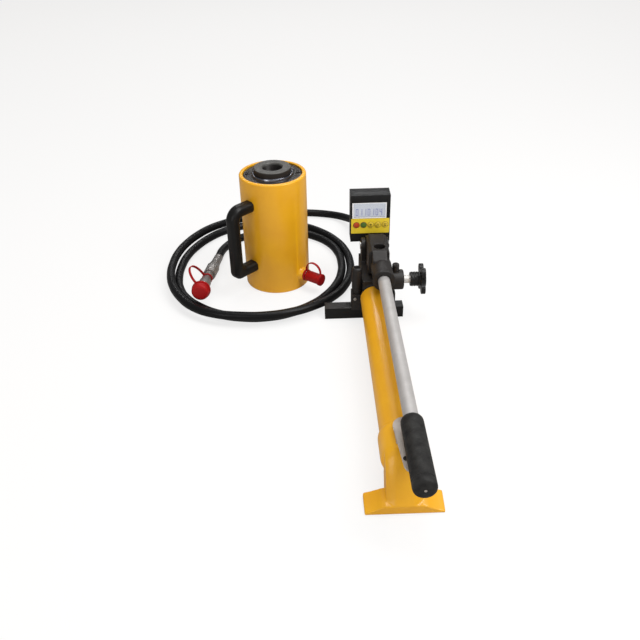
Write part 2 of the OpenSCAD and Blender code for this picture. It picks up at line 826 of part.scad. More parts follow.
// Pump head: the block that holds the plunger, valves, pivot lugs and ports
module pump_head() {
  lug_y0 = pivot_y - lug_r;
  color("dimgray") difference() {
    union() {
      translate([head_x0, head_y0 + flange_t, head_z0]) cube([head_x1 - head_x0, rear_y - head_y0 - flange_t, head_z1 - head_z0]);
      translate([rear_x0, rear_y - cut, head_z0 + rim_c]) cube([rear_x1 - rear_x0, head_y1 - rear_y + cut, head_z1 - head_z0 - rim_c]);
      along_y(pump_x, head_y0, tube_z, flange_r, flange_t + cut, round_fn);
      along_y(pump_x, head_y0 - spigot_len, tube_z, plug_r, spigot_len + cut, round_fn);
      translate([head_x1 - cut, rel_y - web_half, head_z0]) cube([web_t + cut, 2 * web_half, web_top - head_z0]);
      for (p = [[socket_x0 - lug_gap - lug_left, lug_left], [socket_x1 + lug_gap, lug_right]]) {
        translate([p[0], lug_y0, head_z1 - cut]) cube([p[1], 2 * lug_r, pivot_z - head_z1 + cut]);
        along_x(p[0], pivot_y, pivot_z, lug_r, p[1]);
      }
    }
    along_x(socket_x0 - lug_gap - lug_left - cut, pivot_y, pivot_z, pivot_r + seat, socket_w + 2 * (lug_gap + lug_left + cut));
    difference() {
      along_y(pump_x, head_y0 - oring_in - oring_w, tube_z, tube_r, oring_w);
      along_y(pump_x, head_y0 - oring_in - oring_w - cut, tube_z, plug_r - oring_d, oring_w + 2 * cut);
    }
    translate([crank_x, ram_pump_y, bore_floor]) cylinder(r = plg_r + run, h = head_z1, $fn = mid_fn);
    translate([crank_x, ram_pump_y, head_z1 - gl_h]) cylinder(r = gl_r + seat, h = gl_h + cut, $fn = mid_fn);
    along_y(pump_x, head_y0 - spigot_len - cut, suction_z, pick_r + seat, spigot_len + flange_t + cut);
    along_y(pump_x, head_y0 + flange_t - cut, suction_z, oil_r, ram_pump_y - head_y0 - flange_t + cut, small_fn);
    along_y(outlet_x, ram_pump_y, outlet_z, oil_r, head_y1 - ram_pump_y + cut, small_fn);
    along_y(outlet_x, head_y1 - outlet_deep, outlet_z, outlet_r, outlet_deep + cut);
    translate([ad_x, ad_y, outlet_z]) cylinder(r = oil_r, h = head_z1, $fn = small_fn);
    translate([ad_x, ad_y, head_z1 - ad_deep]) cylinder(r = ad_thread_r + seat, h = ad_deep + cut, $fn = mid_fn);
    along_x(crank_x, rel_y, rel_z, oil_r, head_x1 - crank_x + cut, small_fn);
    for (s = [-1, 1]) translate([crank_x + s * bs_half, bar_y0 + bar_t / 2, head_z0 - cut]) cylinder(r = bs_r + seat, h = bs_len + cut, $fn = small_fn);
  }
}

module cross_bar() {
  color("black") difference() {
    translate([bar_x0, bar_y0, 0]) cube([bar_len, bar_t, bar_t]);
    for (s = [-1, 1]) translate([crank_x + s * bs_half, bar_y0 + bar_t / 2, -cut]) {
      cylinder(r = bs_r + seat, h = bar_t + 2 * cut, $fn = small_fn);
      cylinder(r = bs_head_r + seat, h = cut + bs_sink + bs_head_h, $fn = small_fn);
    }
  }
}

module bar_screws() {
  color("dimgray") for (s = [-1, 1]) translate([crank_x + s * bs_half, bar_y0 + bar_t / 2, bs_sink]) difference() {
    union() {
      cylinder(r = bs_head_r, h = bs_head_h, $fn = small_fn);
      cylinder(r = bs_r, h = bar_t + bs_len - bs_sink - near, $fn = small_fn);
    }
    translate([0, 0, -cut]) cylinder(r = hex_key_r, h = cut + bs_head_h / 2, $fn = 6);
  }
}

module reservoir_tube() {
  color("gold") difference() {
    along_y(pump_x, tube_y1, tube_z, tube_r, tube_len, round_fn);
    along_y(pump_x, tube_y1 - cut, tube_z, tube_in, tube_len + 2 * cut, round_fn);
  }
}

module seal_ring(y) {
  difference() {
    along_y(pump_x, y, tube_z, tube_in, oring_w);
    along_y(pump_x, y - cut, tube_z, plug_r - oring_d, oring_w + 2 * cut);
  }
}

module tube_seals() {
  color("black") seal_ring(head_y0 - oring_in - oring_w);
  color("black") seal_ring(tube_y1 + oring_in);
}

module suction_tube() {
  color("silver") difference() {
    union() {
      along_y(pump_x, head_y0 - spigot_len - pick_len, suction_z, pick_r, pick_len + spigot_len + flange_t - near, small_fn);
      along_y(pump_x, head_y0 - spigot_len - pick_len - filter_len, suction_z, filter_r, filter_len, small_fn);
    }
    along_y(pump_x, head_y0 - spigot_len - pick_len - cut, suction_z, pick_r / 2, pick_len + spigot_len + flange_t + cut, small_fn);
  }
}

module foot() {
  y0 = ring_y1;
  y1 = plate_y1;
  span = y0 - y1;
  hgt = tube_z + ring_r;
  px = pump_x;
  color("gold") difference() {
    union() {
      translate([pump_x, ring_y1, tube_z]) rotate([-90, 0, 0]) rotate_extrude($fn = round_fn) polygon([
        [0, 0], [ring_r - ring_c, 0], [ring_r, ring_c], [ring_r, ring_len - ring_c],
        [ring_r - ring_c, ring_len], [0, ring_len]]);
      translate([px - neck_w / 2, 0, 0]) rotate([90, 0, 90]) linear_extrude(height = neck_w)
        polygon(concat([for (p = neck_drop_shares) [y0 - p[0] * span, p[1] * hgt]],
          [[y1, 0], [y1 + plate_len, 0], [y0 + ring_c, tube_z - ring_r + ring_c],
           [y0 + ring_c, neck_drop_shares[0][1] * hgt]]));
      translate([0, plate_y1 + plate_len, 0]) rotate([90, 0, 0]) linear_extrude(height = plate_len)
        polygon([[px - foot_w / 2, 0], [px + foot_w / 2, 0], [px + foot_w / 2, plate_t - wing_c],
          [px + foot_w / 2 - wing_c, plate_t], [px + neck_w / 2, wing_top], [px - neck_w / 2, wing_top],
          [px - foot_w / 2 + wing_c, plate_t], [px - foot_w / 2, plate_t - wing_c]]);
    }
    difference() {
      along_y(pump_x, tube_y1, tube_z, tube_r + seat, ring_lap + cut, round_fn);
      along_y(pump_x, tube_y1 - cut, tube_z, plug_r, spigot_len + cut, round_fn);
    }
    difference() {
      along_y(pump_x, tube_y1 + oring_in, tube_z, tube_in - seat, oring_w);
      along_y(pump_x, tube_y1 + oring_in - cut, tube_z, plug_r - oring_d, oring_w + 2 * cut);
    }
  }
}

module side_block() {
  color("black") difference() {
    translate([blk_x0, blk_y0, bar_t]) cube([head_x0 - blk_x0, blk_y1 - blk_y0, blk_top - bar_t]);
    translate([fill_x, fill_y, blk_top - fill_neck_h]) cylinder(r = fill_neck_r + seat, h = fill_neck_h + cut, $fn = small_fn);
    along_y(drain_x, blk_y0 - cut, drain_z, drain_r + seat, drain_len + cut, small_fn);
  }
}

module filler_plug() {
  color("black") translate([fill_x, fill_y, 0]) difference() {
    union() {
      translate([0, 0, blk_top - fill_neck_h + near]) cylinder(r = fill_neck_r, h = fill_neck_h, $fn = small_fn);
      translate([0, 0, blk_top]) cylinder(r = fill_r, h = fill_top - blk_top, $fn = mid_fn);
    }
    translate([0, 0, fill_top - fill_hex_h]) cylinder(r = fill_hex_r, h = fill_hex_h + cut, $fn = 6);
  }
}

module drain_screw() {
  color("silver") union() {
    along_y(drain_x, blk_y0, drain_z, drain_r, drain_len - near, small_fn);
    along_y(drain_x, blk_y0 - drain_head, drain_z, drain_r + drain_rim, drain_head, 6);
  }
}

module pump_plunger() {
  slot = throw / 2 + eye_slack;
  color("silver") difference() {
    union() {
      translate([crank_x, ram_pump_y, plg_z0]) cylinder(r = plg_r, h = eye_z0 - plg_z0 + cut, $fn = mid_fn);
      translate([crank_x - eye_w / 2, ram_pump_y - eye_len / 2, eye_z0]) cube([eye_w, eye_len, eye_top - eye_z0]);
    }
    for (s = [-1, 1]) along_x(crank_x - eye_w, ram_pump_y + s * slot, drive_z, drive_r + eye_slack, 2 * eye_w);
    translate([crank_x - eye_w, ram_pump_y - slot, drive_z - drive_r - eye_slack]) cube([2 * eye_w, 2 * slot, 2 * (drive_r + eye_slack)]);
  }
}

module plunger_gland() {
  color("darkgray") translate([crank_x, ram_pump_y, head_z1 - gl_h]) washer(plg_r + run, gl_r, gl_h + gl_rise);
}

// Lever socket: the casting that holds the lever and swings on the pivot pin
module lever_socket() {
  pocket_r = norm([eye_len / 2 + throw + eye_slack, eye_top - drive_z]) + pocket_gap;
  pocket_w = eye_w + 2 * pocket_gap;
  color("dimgray") difference() {
    union() {
      along_y(lever_x, sock_y0, lever_z, barrel_r, sock_step_y - sock_y0 + cut);
      along_y(lever_x, sock_y0, lever_z, barrel_r + lip_over, lip_len);
      translate([socket_x0 + sock_c, 0, 0]) rotate([90, 0, 90]) linear_extrude(height = socket_w - 2 * sock_c)
        polygon([[sock_step_y - ramp_run, sock_rear_z1 - ramp_rise], [sock_step_y, sock_rear_z1],
          [sock_step_y + cut, sock_rear_z1], [sock_step_y + cut, lever_z], [sock_step_y - ramp_run, lever_z]]);
      translate([socket_x0, sock_step_y, sock_z0]) cube([socket_w, drive_y + pocket_r - sock_step_y, sock_rear_z1 - sock_z0 - sock_c]);
      translate([socket_x0, sock_step_y, sock_z0]) rotate([-90, 0, 0]) linear_extrude(height = pivot_y - sock_step_y)
        polygon([[0, -(pivot_z - sock_z0)], [socket_w, -(pivot_z - sock_z0)],
          [socket_w, -(sock_rear_z1 - sock_z0 - sock_c)], [socket_w - sock_c, -(sock_rear_z1 - sock_z0)],
          [sock_c, -(sock_rear_z1 - sock_z0)], [0, -(sock_rear_z1 - sock_z0 - sock_c)]]);
      along_x(socket_x0, pivot_y, pivot_z, sock_end_r, socket_w);
    }
    along_y(lever_x, sock_y0 - cut, lever_z, lever_r + seat, lever_y0 - sock_y0 + cut);
    translate([lever_x, sock_y0 - cut, lever_z]) rotate([-90, 0, 0]) cylinder(r1 = lever_r + mouth_c + cut, r2 = lever_r, h = mouth_c + cut, $fn = mid_fn);
    along_x(socket_x0 - cut, pivot_y, pivot_z, pivot_r + run, socket_w + 2 * cut);
    along_x(socket_x0 - cut, drive_y, drive_z, drive_r + seat, socket_w + 2 * cut);
    translate([crank_x - pocket_w / 2, 0, 0]) along_x(0, drive_y, drive_z, pocket_r, pocket_w);
    translate([crank_x - pocket_w / 2, drive_y - pocket_r, sock_z0 - cut]) cube([pocket_w, 2 * pocket_r + pivot_r, drive_z - sock_z0 + cut]);
    translate([view_x, view_y, drive_z + drive_r + pocket_gap]) cylinder(r = view_r, h = sock_rear_z1, $fn = mid_fn);
    translate([lever_x, ls_y, sock_z0 - cut]) cylinder(r = ls_r + seat, h = lever_z - lever_r - sock_z0 + cut, $fn = small_fn);
  }
}

module pivot_pin() {
  x0 = socket_x0 - lug_gap - lug_left - pin_over;
  color("silver") union() {
    along_x(x0, pivot_y, pivot_z, pivot_r, socket_w + 2 * (lug_gap + pin_over) + lug_left + lug_right, mid_fn);
    along_x(x0, pivot_y, pivot_z, pivot_r + rim_c, pin_over, mid_fn);
  }
}

module drive_pin() {
  color("silver") along_x(socket_x0, drive_y, drive_z, drive_r, socket_w, mid_fn);
}

module lever_tube() {
  color("silver") difference() {
    along_y(lever_x, lever_y1, lever_z, lever_r, lever_len);
    along_y(lever_x, lever_y1 - cut, lever_z, lever_r - lever_wall, lever_len + 2 * cut);
  }
}

module lever_grip() {
  color("black") difference() {
    translate([lever_x, grip_y1, lever_z]) rotate([-90, 0, 0]) rotate_extrude($fn = mid_fn) union() {
      translate([0, grip_round]) square([grip_r, grip_len - 2 * grip_round]);
      square([grip_r - grip_round, grip_len]);
      translate([grip_r - grip_round, grip_round]) intersection() {
        circle(r = grip_round, $fn = mid_fn);
        translate([0, -grip_round]) square([grip_round, 2 * grip_round]);
      }
      translate([grip_r - grip_round, grip_len - grip_round]) intersection() {
        circle(r = grip_round, $fn = mid_fn);
        translate([0, -grip_round]) square([grip_round, 2 * grip_round]);
      }
    }
    along_y(lever_x, lever_y1, lever_z, lever_r + seat, grip_len);
  }
}

module lever_screw() {
  color("dimgray") translate([lever_x, ls_y, sock_z0 + ls_sink]) difference() {
    cylinder(r = ls_r, h = lever_z - lever_r - sock_z0 - ls_sink - seat, $fn = small_fn);
    translate([0, 0, -cut]) cylinder(r = ls_r / 2, h = cut + ls_len / 4, $fn = 6);
  }
}

module lever_rest() {
  y1 = rest_y0 - rest_len;
  color("lightgray") difference() {
    union() {
      translate([rest_x, rest_y0 - rest_half, rest_z0]) cylinder(r = rest_half, h = rest_t, $fn = mid_fn);
      translate([rest_x, y1 + rest_half, rest_z0]) cylinder(r = rest_half, h = rest_t, $fn = mid_fn);
      translate([rest_x - rest_half, y1 + rest_half, rest_z0]) cube([2 * rest_half, rest_len - 2 * rest_half, rest_t]);
      translate([pump_x - rest_pad_x, ring_y1 + ring_c, tube_z]) cube([2 * rest_pad_x, rest_pad_y, rest_z0 - tube_z + rest_t / 2]);
    }
    along_y(pump_x, ring_y1 - ring_len, tube_z, ring_r, ring_len * 3, round_fn);
    translate([rest_dot_x, y1 + rest_half, rest_z0 - cut]) cylinder(r = rest_dot_r, h = rest_t + 2 * cut, $fn = small_fn);
  }
}

// Release valve on the head's right side
module release_block() {
  color("dimgray") difference() {
    translate([rel_x0, rel_y, rel_z]) rotate([0, 90, 0]) rotate_extrude($fn = mid_fn)
      polygon([[0, 0], [rel_r, 0], [rel_r, rel_len - rel_c], [rel_r - rel_c, rel_len], [0, rel_len]]);
    translate([rel_x0 - cut, rel_y - web_half - cut, 0]) cube([web_t + cut, 2 * (web_half + cut), web_top]);
    along_x(rel_x0 - cut, rel_y, rel_z, needle_r + run, rel_len + 2 * cut, small_fn);
    along_x(stem_x0 - near, rel_y, rel_z, stem_r + run, rel_len);
    translate([bleed_x, rel_y, rel_z + needle_r + rim_c]) cylinder(r = bleed_neck_r + seat, h = rel_r, $fn = small_fn);
    translate([bleed_x, rel_y, rel_z + rel_r - rim_c]) cylinder(r = bleed_r + bleed_rib + seat, h = rel_r, $fn = small_fn);
  }
}

module bleed_screw() {
  h0 = rel_z + rel_r - rim_c;
  step = (bleed_top - h0) / (2 * bleed_ribs);
  color("black") translate([bleed_x, rel_y, 0]) union() {
    translate([0, 0, rel_z + needle_r + rim_c + near]) cylinder(r = bleed_neck_r, h = rel_r - needle_r, $fn = small_fn);
    translate([0, 0, h0]) cylinder(r = bleed_r, h = bleed_top - h0, $fn = small_fn);
    for (i = [0:bleed_ribs - 1]) translate([0, 0, h0 + 2 * i * step]) cylinder(r = bleed_r + bleed_rib, h = step, $fn = small_fn);
  }
}

module release_needle() {
  needle_len = stem_x0 - rel_x0 - near + needle_tail;
  color("silver") translate([rel_x0 + near, rel_y, rel_z]) rotate([0, 90, 0]) rotate_extrude($fn = small_fn)
    polygon([[0, 0], [needle_r / 3, 0], [needle_r, needle_tip], [needle_r, needle_len], [0, needle_len]]);
}

module release_stem() {
  color("silver") difference() {
    along_x(stem_x0, rel_y, rel_z, stem_r, hub_x0 - stem_x0 + stem_bite);
    along_x(stem_x0 - cut, rel_y, rel_z, needle_r + run, cut + needle_tail + stem_open + near, small_fn);
  }
}

module release_knob() {
  color("black") difference() {
    union() {
      along_x(hub_x0, rel_y, rel_z, hub_r, hub_len + cut);
      translate([knob_x0, rel_y, rel_z]) rotate([0, 90, 0]) rotate_extrude($fn = mid_fn)
        polygon([[0, 0], [hub_r + lobe_r / 2, 0], [hub_r + lobe_r / 2, knob_t - knob_c],
          [hub_r + lobe_r / 2 - knob_c, knob_t], [0, knob_t]]);
      for (i = [0:knob_lobes - 1]) translate([knob_x0, rel_y, rel_z]) rotate([0, 90, 0])
        rotate([0, 0, knob_turn + 360 * i / knob_lobes]) {
          translate([web_r, 0, 0]) cylinder(r = lobe_r, h = knob_t - lobe_low, $fn = small_fn);
          translate([0, -spoke_w / 2, knob_c / 2]) cube([web_r, spoke_w, knob_t - 2 * knob_c]);
        }
    }
    along_x(hub_x0 - cut, rel_y, rel_z, stem_r + seat, stem_bite + cut + near);
  }
}

// Gauge
module gauge_adaptor() {
  z0 = head_z1;
  color("silver") translate([ad_x, ad_y, 0]) difference() {
    union() {
      translate([0, 0, z0 - ad_deep + near]) cylinder(r = ad_thread_r, h = ad_deep, $fn = mid_fn);
      translate([0, 0, z0]) cylinder(r = ad_hex_r, h = ad_hex_h, $fn = 6);
      translate([0, 0, z0 + ad_hex_h - cut]) cylinder(r = ad_neck_r, h = case_z0 + case_wall - z0 - ad_hex_h + cut, $fn = mid_fn);
    }
    translate([0, 0, z0 - ad_deep - cut]) cylinder(r = ad_hole_r, h = case_z0 + case_wall, $fn = small_fn);
  }
}

module pressure_sensor() {
  color("silver") translate([ad_x, ad_y, case_z0 + case_wall]) cylinder(r = sens_r, h = sens_h, $fn = mid_fn);
}

module gauge_case() {
  color("black") difference() {
    translate([case_x0, case_y0, case_z0]) cube([case_w, case_d - back_t, case_h]);
    translate([case_x0 + case_wall, case_y0 + case_wall, case_z0 + case_wall])
      cube([case_w - 2 * case_wall, case_d, case_h - 2 * case_wall]);
    translate([lcd_x0 - seat, case_y0 - cut, lcd_z0 - seat]) cube([lcd_w + 2 * seat, case_wall + 2 * cut, lcd_h + 2 * seat]);
    for (x = key_x) along_y(x, case_y0 - cut, key_z, key_r + key_slack, case_wall + 2 * cut);
    translate([ad_x, ad_y, case_z0 - cut]) cylinder(r = ad_neck_r + seat, h = case_wall + 2 * cut, $fn = mid_fn);
  }
}

module screw_places() {
  for (x = [case_x0 + cs_in, case_x0 + case_w - cs_in], z = [case_z0 + cs_in, case_z1 - cs_in])
    translate([x, 0, z]) children();
}

module gauge_back() {
  color("black") difference() {
    union() {
      translate([case_x0, case_y1 - back_t, case_z0]) cube([case_w, back_t, case_h]);
      screw_places() along_y(0, case_y1 - back_t - cs_len, 0, cs_head_r, cs_len + cut, small_fn);
    }
    screw_places() {
      along_y(0, case_y1 - cs_len, 0, cs_r + seat, cs_len + cut, small_fn);
      along_y(0, case_y1 - cs_head_h, 0, cs_head_r + seat, cs_head_h + cut, small_fn);
    }
  }
}

module key_panel() {
  color("yellow") difference() {
    translate([case_x0 + band_in, case_y0 - band_t, band_z0]) cube([case_w - 2 * band_in, band_t, band_h]);
    for (x = key_x) along_y(x, case_y0 - band_t - cut, key_z, key_r + key_slack, band_t + 2 * cut);
  }
}

module lcd_window() {
  color("lightblue") translate([lcd_x0, case_y0, lcd_z0]) cube([lcd_w, case_wall, lcd_h]);
}

module lcd_display() {
  color("lightgray") translate([lcd_x0 - lcd_ledge, case_y0 + case_wall, lcd_z0 - lcd_ledge / 2])
    cube([lcd_w + 2 * lcd_ledge, pcb_y0 - case_y0 - case_wall, lcd_h + lcd_ledge * 3 / 2]);
}

module circuit_board() {
  z0 = case_z0 + case_wall + pcb_in + sens_h;
  color("green") translate([case_x0 + case_wall + seat, pcb_y0, z0])
    cube([case_w - 2 * case_wall - 2 * seat, pcb_t, case_z1 - case_wall - pcb_in - z0 - cs_in]);
}

module battery() {
  color("orange") translate([pump_x - batt_w / 2, pcb_y0 + pcb_t, lcd_z0]) cube([batt_w, batt_t, batt_h]);
}

// A key: its button in the hole and a lip behind the panel
module key_at(x) {
  along_y(x, case_y0 - band_t - key_rise, key_z, key_r, key_rise + band_t + case_wall + seat);
  along_y(x, case_y0 + case_wall + seat, key_z, key_r + key_lip, key_lip_t);
}

module key_red() {
  color("red") key_at(key_x[0]);
}

module key_green() {
  color("green") key_at(key_x[1]);
}

module key_left() {
  color("khaki") key_at(key_x[2]);
}

module key_middle() {
  color("khaki") key_at(key_x[3]);
}

module key_right() {
  color("khaki") key_at(key_x[4]);
}

module case_screws() {
  color("silver") screw_places() {
    along_y(0, case_y1 - cs_len + near, 0, cs_r, cs_len - cs_head_h, small_fn);
    along_y(0, case_y1 - cs_head_h, 0, cs_head_r, cs_head_h, small_fn);
  }
}

ram_body();
centre_tube();
ram_plunger();
plunger_saddle();
piston_seals();
return_spring();
gland_nut();
rod_bearing();
rod_wiper();
ram_nipple();
ram_cap();
ram_cap_strap();
carry_handle();
handle_studs();
hose();
hose_fitting();
hose_ferrule();
coupler_body();
coupler_sleeve();
hose_cap();
hose_cap_strap();
pump_head();
cross_bar();
bar_screws();
reservoir_tube();
tube_seals();
suction_tube();
foot();
side_block();
filler_plug();
drain_screw();
pump_plunger();
plunger_gland();
lever_socket();
pivot_pin();
drive_pin();
lever_tube();
lever_grip();
lever_screw();
lever_rest();
release_block();
bleed_screw();
release_needle();
release_stem();
release_knob();
gauge_adaptor();
pressure_sensor();
gauge_case();
gauge_back();
key_panel();
lcd_window();
lcd_display();
circuit_board();
battery();
key_red();
key_green();
key_left();
key_middle();
key_right();
case_screws();
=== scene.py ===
import math

import bpy
from mathutils import Matrix, Vector


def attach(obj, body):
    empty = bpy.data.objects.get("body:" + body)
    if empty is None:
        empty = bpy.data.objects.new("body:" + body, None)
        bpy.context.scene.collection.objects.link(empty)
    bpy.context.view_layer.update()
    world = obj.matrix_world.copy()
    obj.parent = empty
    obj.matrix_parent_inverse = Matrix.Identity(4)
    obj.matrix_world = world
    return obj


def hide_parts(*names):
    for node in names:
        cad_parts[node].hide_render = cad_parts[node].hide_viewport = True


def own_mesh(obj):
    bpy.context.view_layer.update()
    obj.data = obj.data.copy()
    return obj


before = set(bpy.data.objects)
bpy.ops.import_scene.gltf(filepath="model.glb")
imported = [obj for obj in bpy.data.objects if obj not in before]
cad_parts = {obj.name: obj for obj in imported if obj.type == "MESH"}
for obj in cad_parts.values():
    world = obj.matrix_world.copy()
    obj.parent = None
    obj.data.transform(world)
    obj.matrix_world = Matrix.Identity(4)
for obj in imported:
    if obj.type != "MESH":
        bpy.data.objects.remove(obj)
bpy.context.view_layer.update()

# Hose: its route and thickness in millimetres, as the part's source has them

ROUTE = [
    (166, 26, 50), (166, 60, 50), (165, 98, 46), (161, 136, 37), (153, 172, 26),
    (141, 204, 16), (122, 230, 10), (92, 246, 8), (56, 253, 8), (18, 255, 8),
    (-20, 251, 8), (-56, 241, 9), (-88, 224, 11), (-115, 202, 14), (-140, 175, 17),
    (-160, 146, 18.5), (-178, 112, 18.5), (-190, 74, 18.5), (-195, 34, 18.5), (-194, -8, 18.5),
    (-185, -50, 18.5), (-167, -89, 18), (-140, -122.5, 17.3), (-102, -145.5, 18), (-58, -156, 18.5),
    (-14, -157, 18.5), (28, -147, 18), (66, -125, 16), (97, -93, 12), (119, -53, 9),
    (131, -10, 8), (134, 34, 8), (128, 80, 8), (111, 124, 8), (84, 161, 8),
    (48, 190, 8), (6, 206, 8), (-38, 208, 8), (-79, 198, 8), (-113, 178, 8),
    (-140, 150, 8), (-161, 115, 8), (-175, 77, 8), (-181, 36, 8), (-181, -4, 8),
    (-174, -43, 8), (-157, -79, 8), (-132, -107, 8), (-98, -131, 8), (-57, -144, 8),
    (-14, -145, 8), (26, -133, 8), (60, -111, 8), (86, -81, 8), (105, -45, 8),
    (115.5, -6, 8), (118, 34, 8), (113, 75, 8), (98, 112, 8), (72, 142, 8),
    (37, 162, 8), (-3, 170, 8), (-41, 166, 8), (-70, 151, 8), (-91, 132, 8),
    (-103, 112, 8), (-109, 94, 9.5), (-113, 56, 14.5)]
HOSE_D = 15.0

# Units and places

MM = 0.001
SEAM_GAP = 1e-5


def mm(*values):
    """Millimetres to metres."""
    return tuple(v * MM for v in values)


def placed(x, y, z):
    """A place, from millimetres."""
    return Matrix.Translation(mm(x, y, z))


def spun(degrees, axis):
    """A turn about one of the axes."""
    return Matrix.Rotation(math.radians(degrees), 4, axis)


# Making pieces


def pick(*objects):
    """Leaves only these objects selected, the first one active."""
    if bpy.context.object and bpy.context.object.mode != "OBJECT":
        bpy.ops.object.mode_set(mode="OBJECT")
    bpy.ops.object.select_all(action="DESELECT")
    for o in objects:
        o.select_set(True)
    bpy.context.view_layer.objects.active = objects[0] if objects else None


def called(name):
    """Names the active object and its mesh."""
    o = bpy.context.active_object
    o.name = name
    o.data.name = name
    return o


def settle(o):
    """Puts an object's place, turn and size into its mesh."""
    pick(o)
    bpy.ops.object.transform_apply(location=True, rotation=True, scale=True)
    return o


def moved(o, place):
    """Moves a new object from the origin to its place."""
    o.matrix_world = place
    return settle(o)


def block(name, low, high):
    """A box between two corners, in millimetres."""
    pick()
    size = [h - l for l, h in zip(low, high)]
    middle = [(h + l) / 2 for l, h in zip(low, high)]
    bpy.ops.mesh.primitive_cube_add(size=1, location=mm(*middle))
    o = called(name)
    o.scale = mm(*size)
    return settle(o)


def limits(node):
    """The least and the greatest corner of a plain solid, in millimetres."""
    o = bpy.data.objects[node]
    spots = [o.matrix_world @ v.co for v in o.data.vertices]
    low = [min(s[i] for s in spots) / MM for i in range(3)]
    high = [max(s[i] for s in spots) / MM for i in range(3)]
    return low, high


def arc(x, y, radius, start, end, steps):
    """Points of an arc, its angles in degrees."""
    angles = [math.radians(start + (end - start) * i / steps) for i in range(steps + 1)]
    return [(x + radius * math.cos(a), y + radius * math.sin(a)) for a in angles]


def start_point(name, x, y, z):
    """A mesh of one point, to extrude an outline from."""
    pick()
    bpy.ops.mesh.primitive_plane_add(size=MM)
    o = called(name)
    bpy.ops.object.mode_set(mode="EDIT")
    bpy.ops.mesh.select_all(action="SELECT")
    bpy.ops.mesh.merge(type="CENTER")
    bpy.ops.transform.translate(value=mm(x, y, z))
    return o


def draw(points):
    """Extrudes the selected point along the rest of an outline."""
    for a, b in zip(points, points[1:]):
        step = mm(*(q - p for p, q in zip(a, b)))
        bpy.ops.mesh.extrude_region_move(TRANSFORM_OT_translate={"value": step})


def turned(name, outline, place=Matrix(), steps=64):
    """A solid of revolution about Z from points (radius, height) that run round its section."""
    points = [(r, 0, z) for r, z in outline]
    if outline[0][0] > 0 or outline[-1][0] > 0:
        points.append(points[0])
    o = start_point(name, *points[0])
    draw(points)
    bpy.ops.mesh.select_all(action="SELECT")
    bpy.ops.mesh.spin(steps=steps, angle=2 * math.pi, center=(0, 0, 0), axis=(0, 0, 1))
    bpy.ops.mesh.select_all(action="SELECT")
    bpy.ops.mesh.remove_doubles(threshold=SEAM_GAP)
    bpy.ops.mesh.normals_make_consistent(inside=False)
    bpy.ops.object.mode_set(mode="OBJECT")
    return moved(o, place)


def plate(name, outline, depth, place):
    """A flat shape in XY, drawn by its outline and pulled up along Z by depth."""
    points = [(x, y, 0) for x, y in outline]
    o = start_point(name, *points[0])
    draw(points)
    bpy.ops.mesh.select_all(action="SELECT")
    bpy.ops.mesh.edge_face_add()
    bpy.ops.mesh.extrude_region_move(TRANSFORM_OT_translate={"value": (0, 0, depth * MM)})
    bpy.ops.mesh.select_all(action="SELECT")
    bpy.ops.mesh.normals_make_consistent(inside=False)
    bpy.ops.object.mode_set(mode="OBJECT")
    return moved(o, place)


def rod(name, foot, along, radius, length, sides):
    """A round bar from a point along an axis."""
    pick()
    turn = Vector((0, 0, 1)).rotation_difference(Vector(along)).to_matrix().to_4x4()
    bpy.ops.mesh.primitive_cylinder_add(radius=radius * MM, depth=length * MM, vertices=sides)
    return moved(called(name), placed(*foot) @ turn @ placed(0, 0, length / 2))


def finish_with(o, kind, **settings):
    """Adds a modifier, sets it and applies it."""
    pick(o)
    m = o.modifiers.new(kind, kind)
    for key, value in settings.items():
        setattr(m, key, value)
    bpy.ops.object.modifier_apply(modifier=m.name)
    return o


def soften(o, width, segments=2, angle=30):
    """Rounds the edges that are sharper than an angle."""
    finish_with(o, "BEVEL", width=width * MM, segments=segments, limit_method="ANGLE",
                angle_limit=math.radians(angle), use_clamp_overlap=True, harden_normals=False)
    return smooth(o)


def smooth(o, angle=35):
    """Shades smoothly over all edges that are flatter than an angle."""
    pick(o)
    bpy.ops.object.shade_smooth_by_angle(angle=math.radians(angle))
    return o


def combine(o, tool, how):
    """Adds or cuts with a second object, which is used up."""
    finish_with(o, "BOOLEAN", object=tool, operation=how, solver="EXACT")
    bpy.data.objects.remove(tool, do_unlink=True)
    return o


def fuse(o, *others):
    for other in others:
        combine(o, other, "UNION")
    return o


def cut(o, *tools):
    for tool in tools:
        combine(o, tool, "DIFFERENCE")
    return o


def cast(o, grain, rounds):
    """A sand-cast look: the joined blocks become one skin, and its corners are rubbed round."""
    finish_with(o, "REMESH", mode="VOXEL", voxel_size=grain * MM, use_smooth_shade=True)
    finish_with(o, "SMOOTH", factor=0.5, iterations=rounds)
    pick(o)
    bpy.ops.object.shade_smooth()
    return o


def join(name, *objects):
    """Puts objects into one mesh, side by side."""
    pick(*objects)
    bpy.ops.object.join()
    return called(name)


# Materials: node groups for cloudy tone, fine skin and lathe lines, and a maker of finishes

MIX_FROM, MIX_TO = 2, 3
TINT_FROM, TINT_TO, TINT_OUT = 6, 7, 2


def node_group(name, inputs, output):
    g = bpy.data.node_groups.new(name, "ShaderNodeTree")
    for label, value in inputs.items():
        s = g.interface.new_socket(label, in_out="INPUT", socket_type="NodeSocketFloat")
        s.default_value = value
    g.interface.new_socket(output, in_out="OUTPUT", socket_type="NodeSocketFloat")
    return g, g.nodes.new("NodeGroupInput"), g.nodes.new("NodeGroupOutput")


def add_node(tree, kind, links=None, **settings):
    """A shader node; links gives each socket its value or the socket that feeds it."""
    n = tree.nodes.new(kind)
    for key, value in settings.items():
        setattr(n, key, value)
    for socket, source in (links or {}).items():
        if isinstance(source, bpy.types.NodeSocket):
            tree.links.new(source, n.inputs[socket])
        else:
            n.inputs[socket].default_value = source
    return n


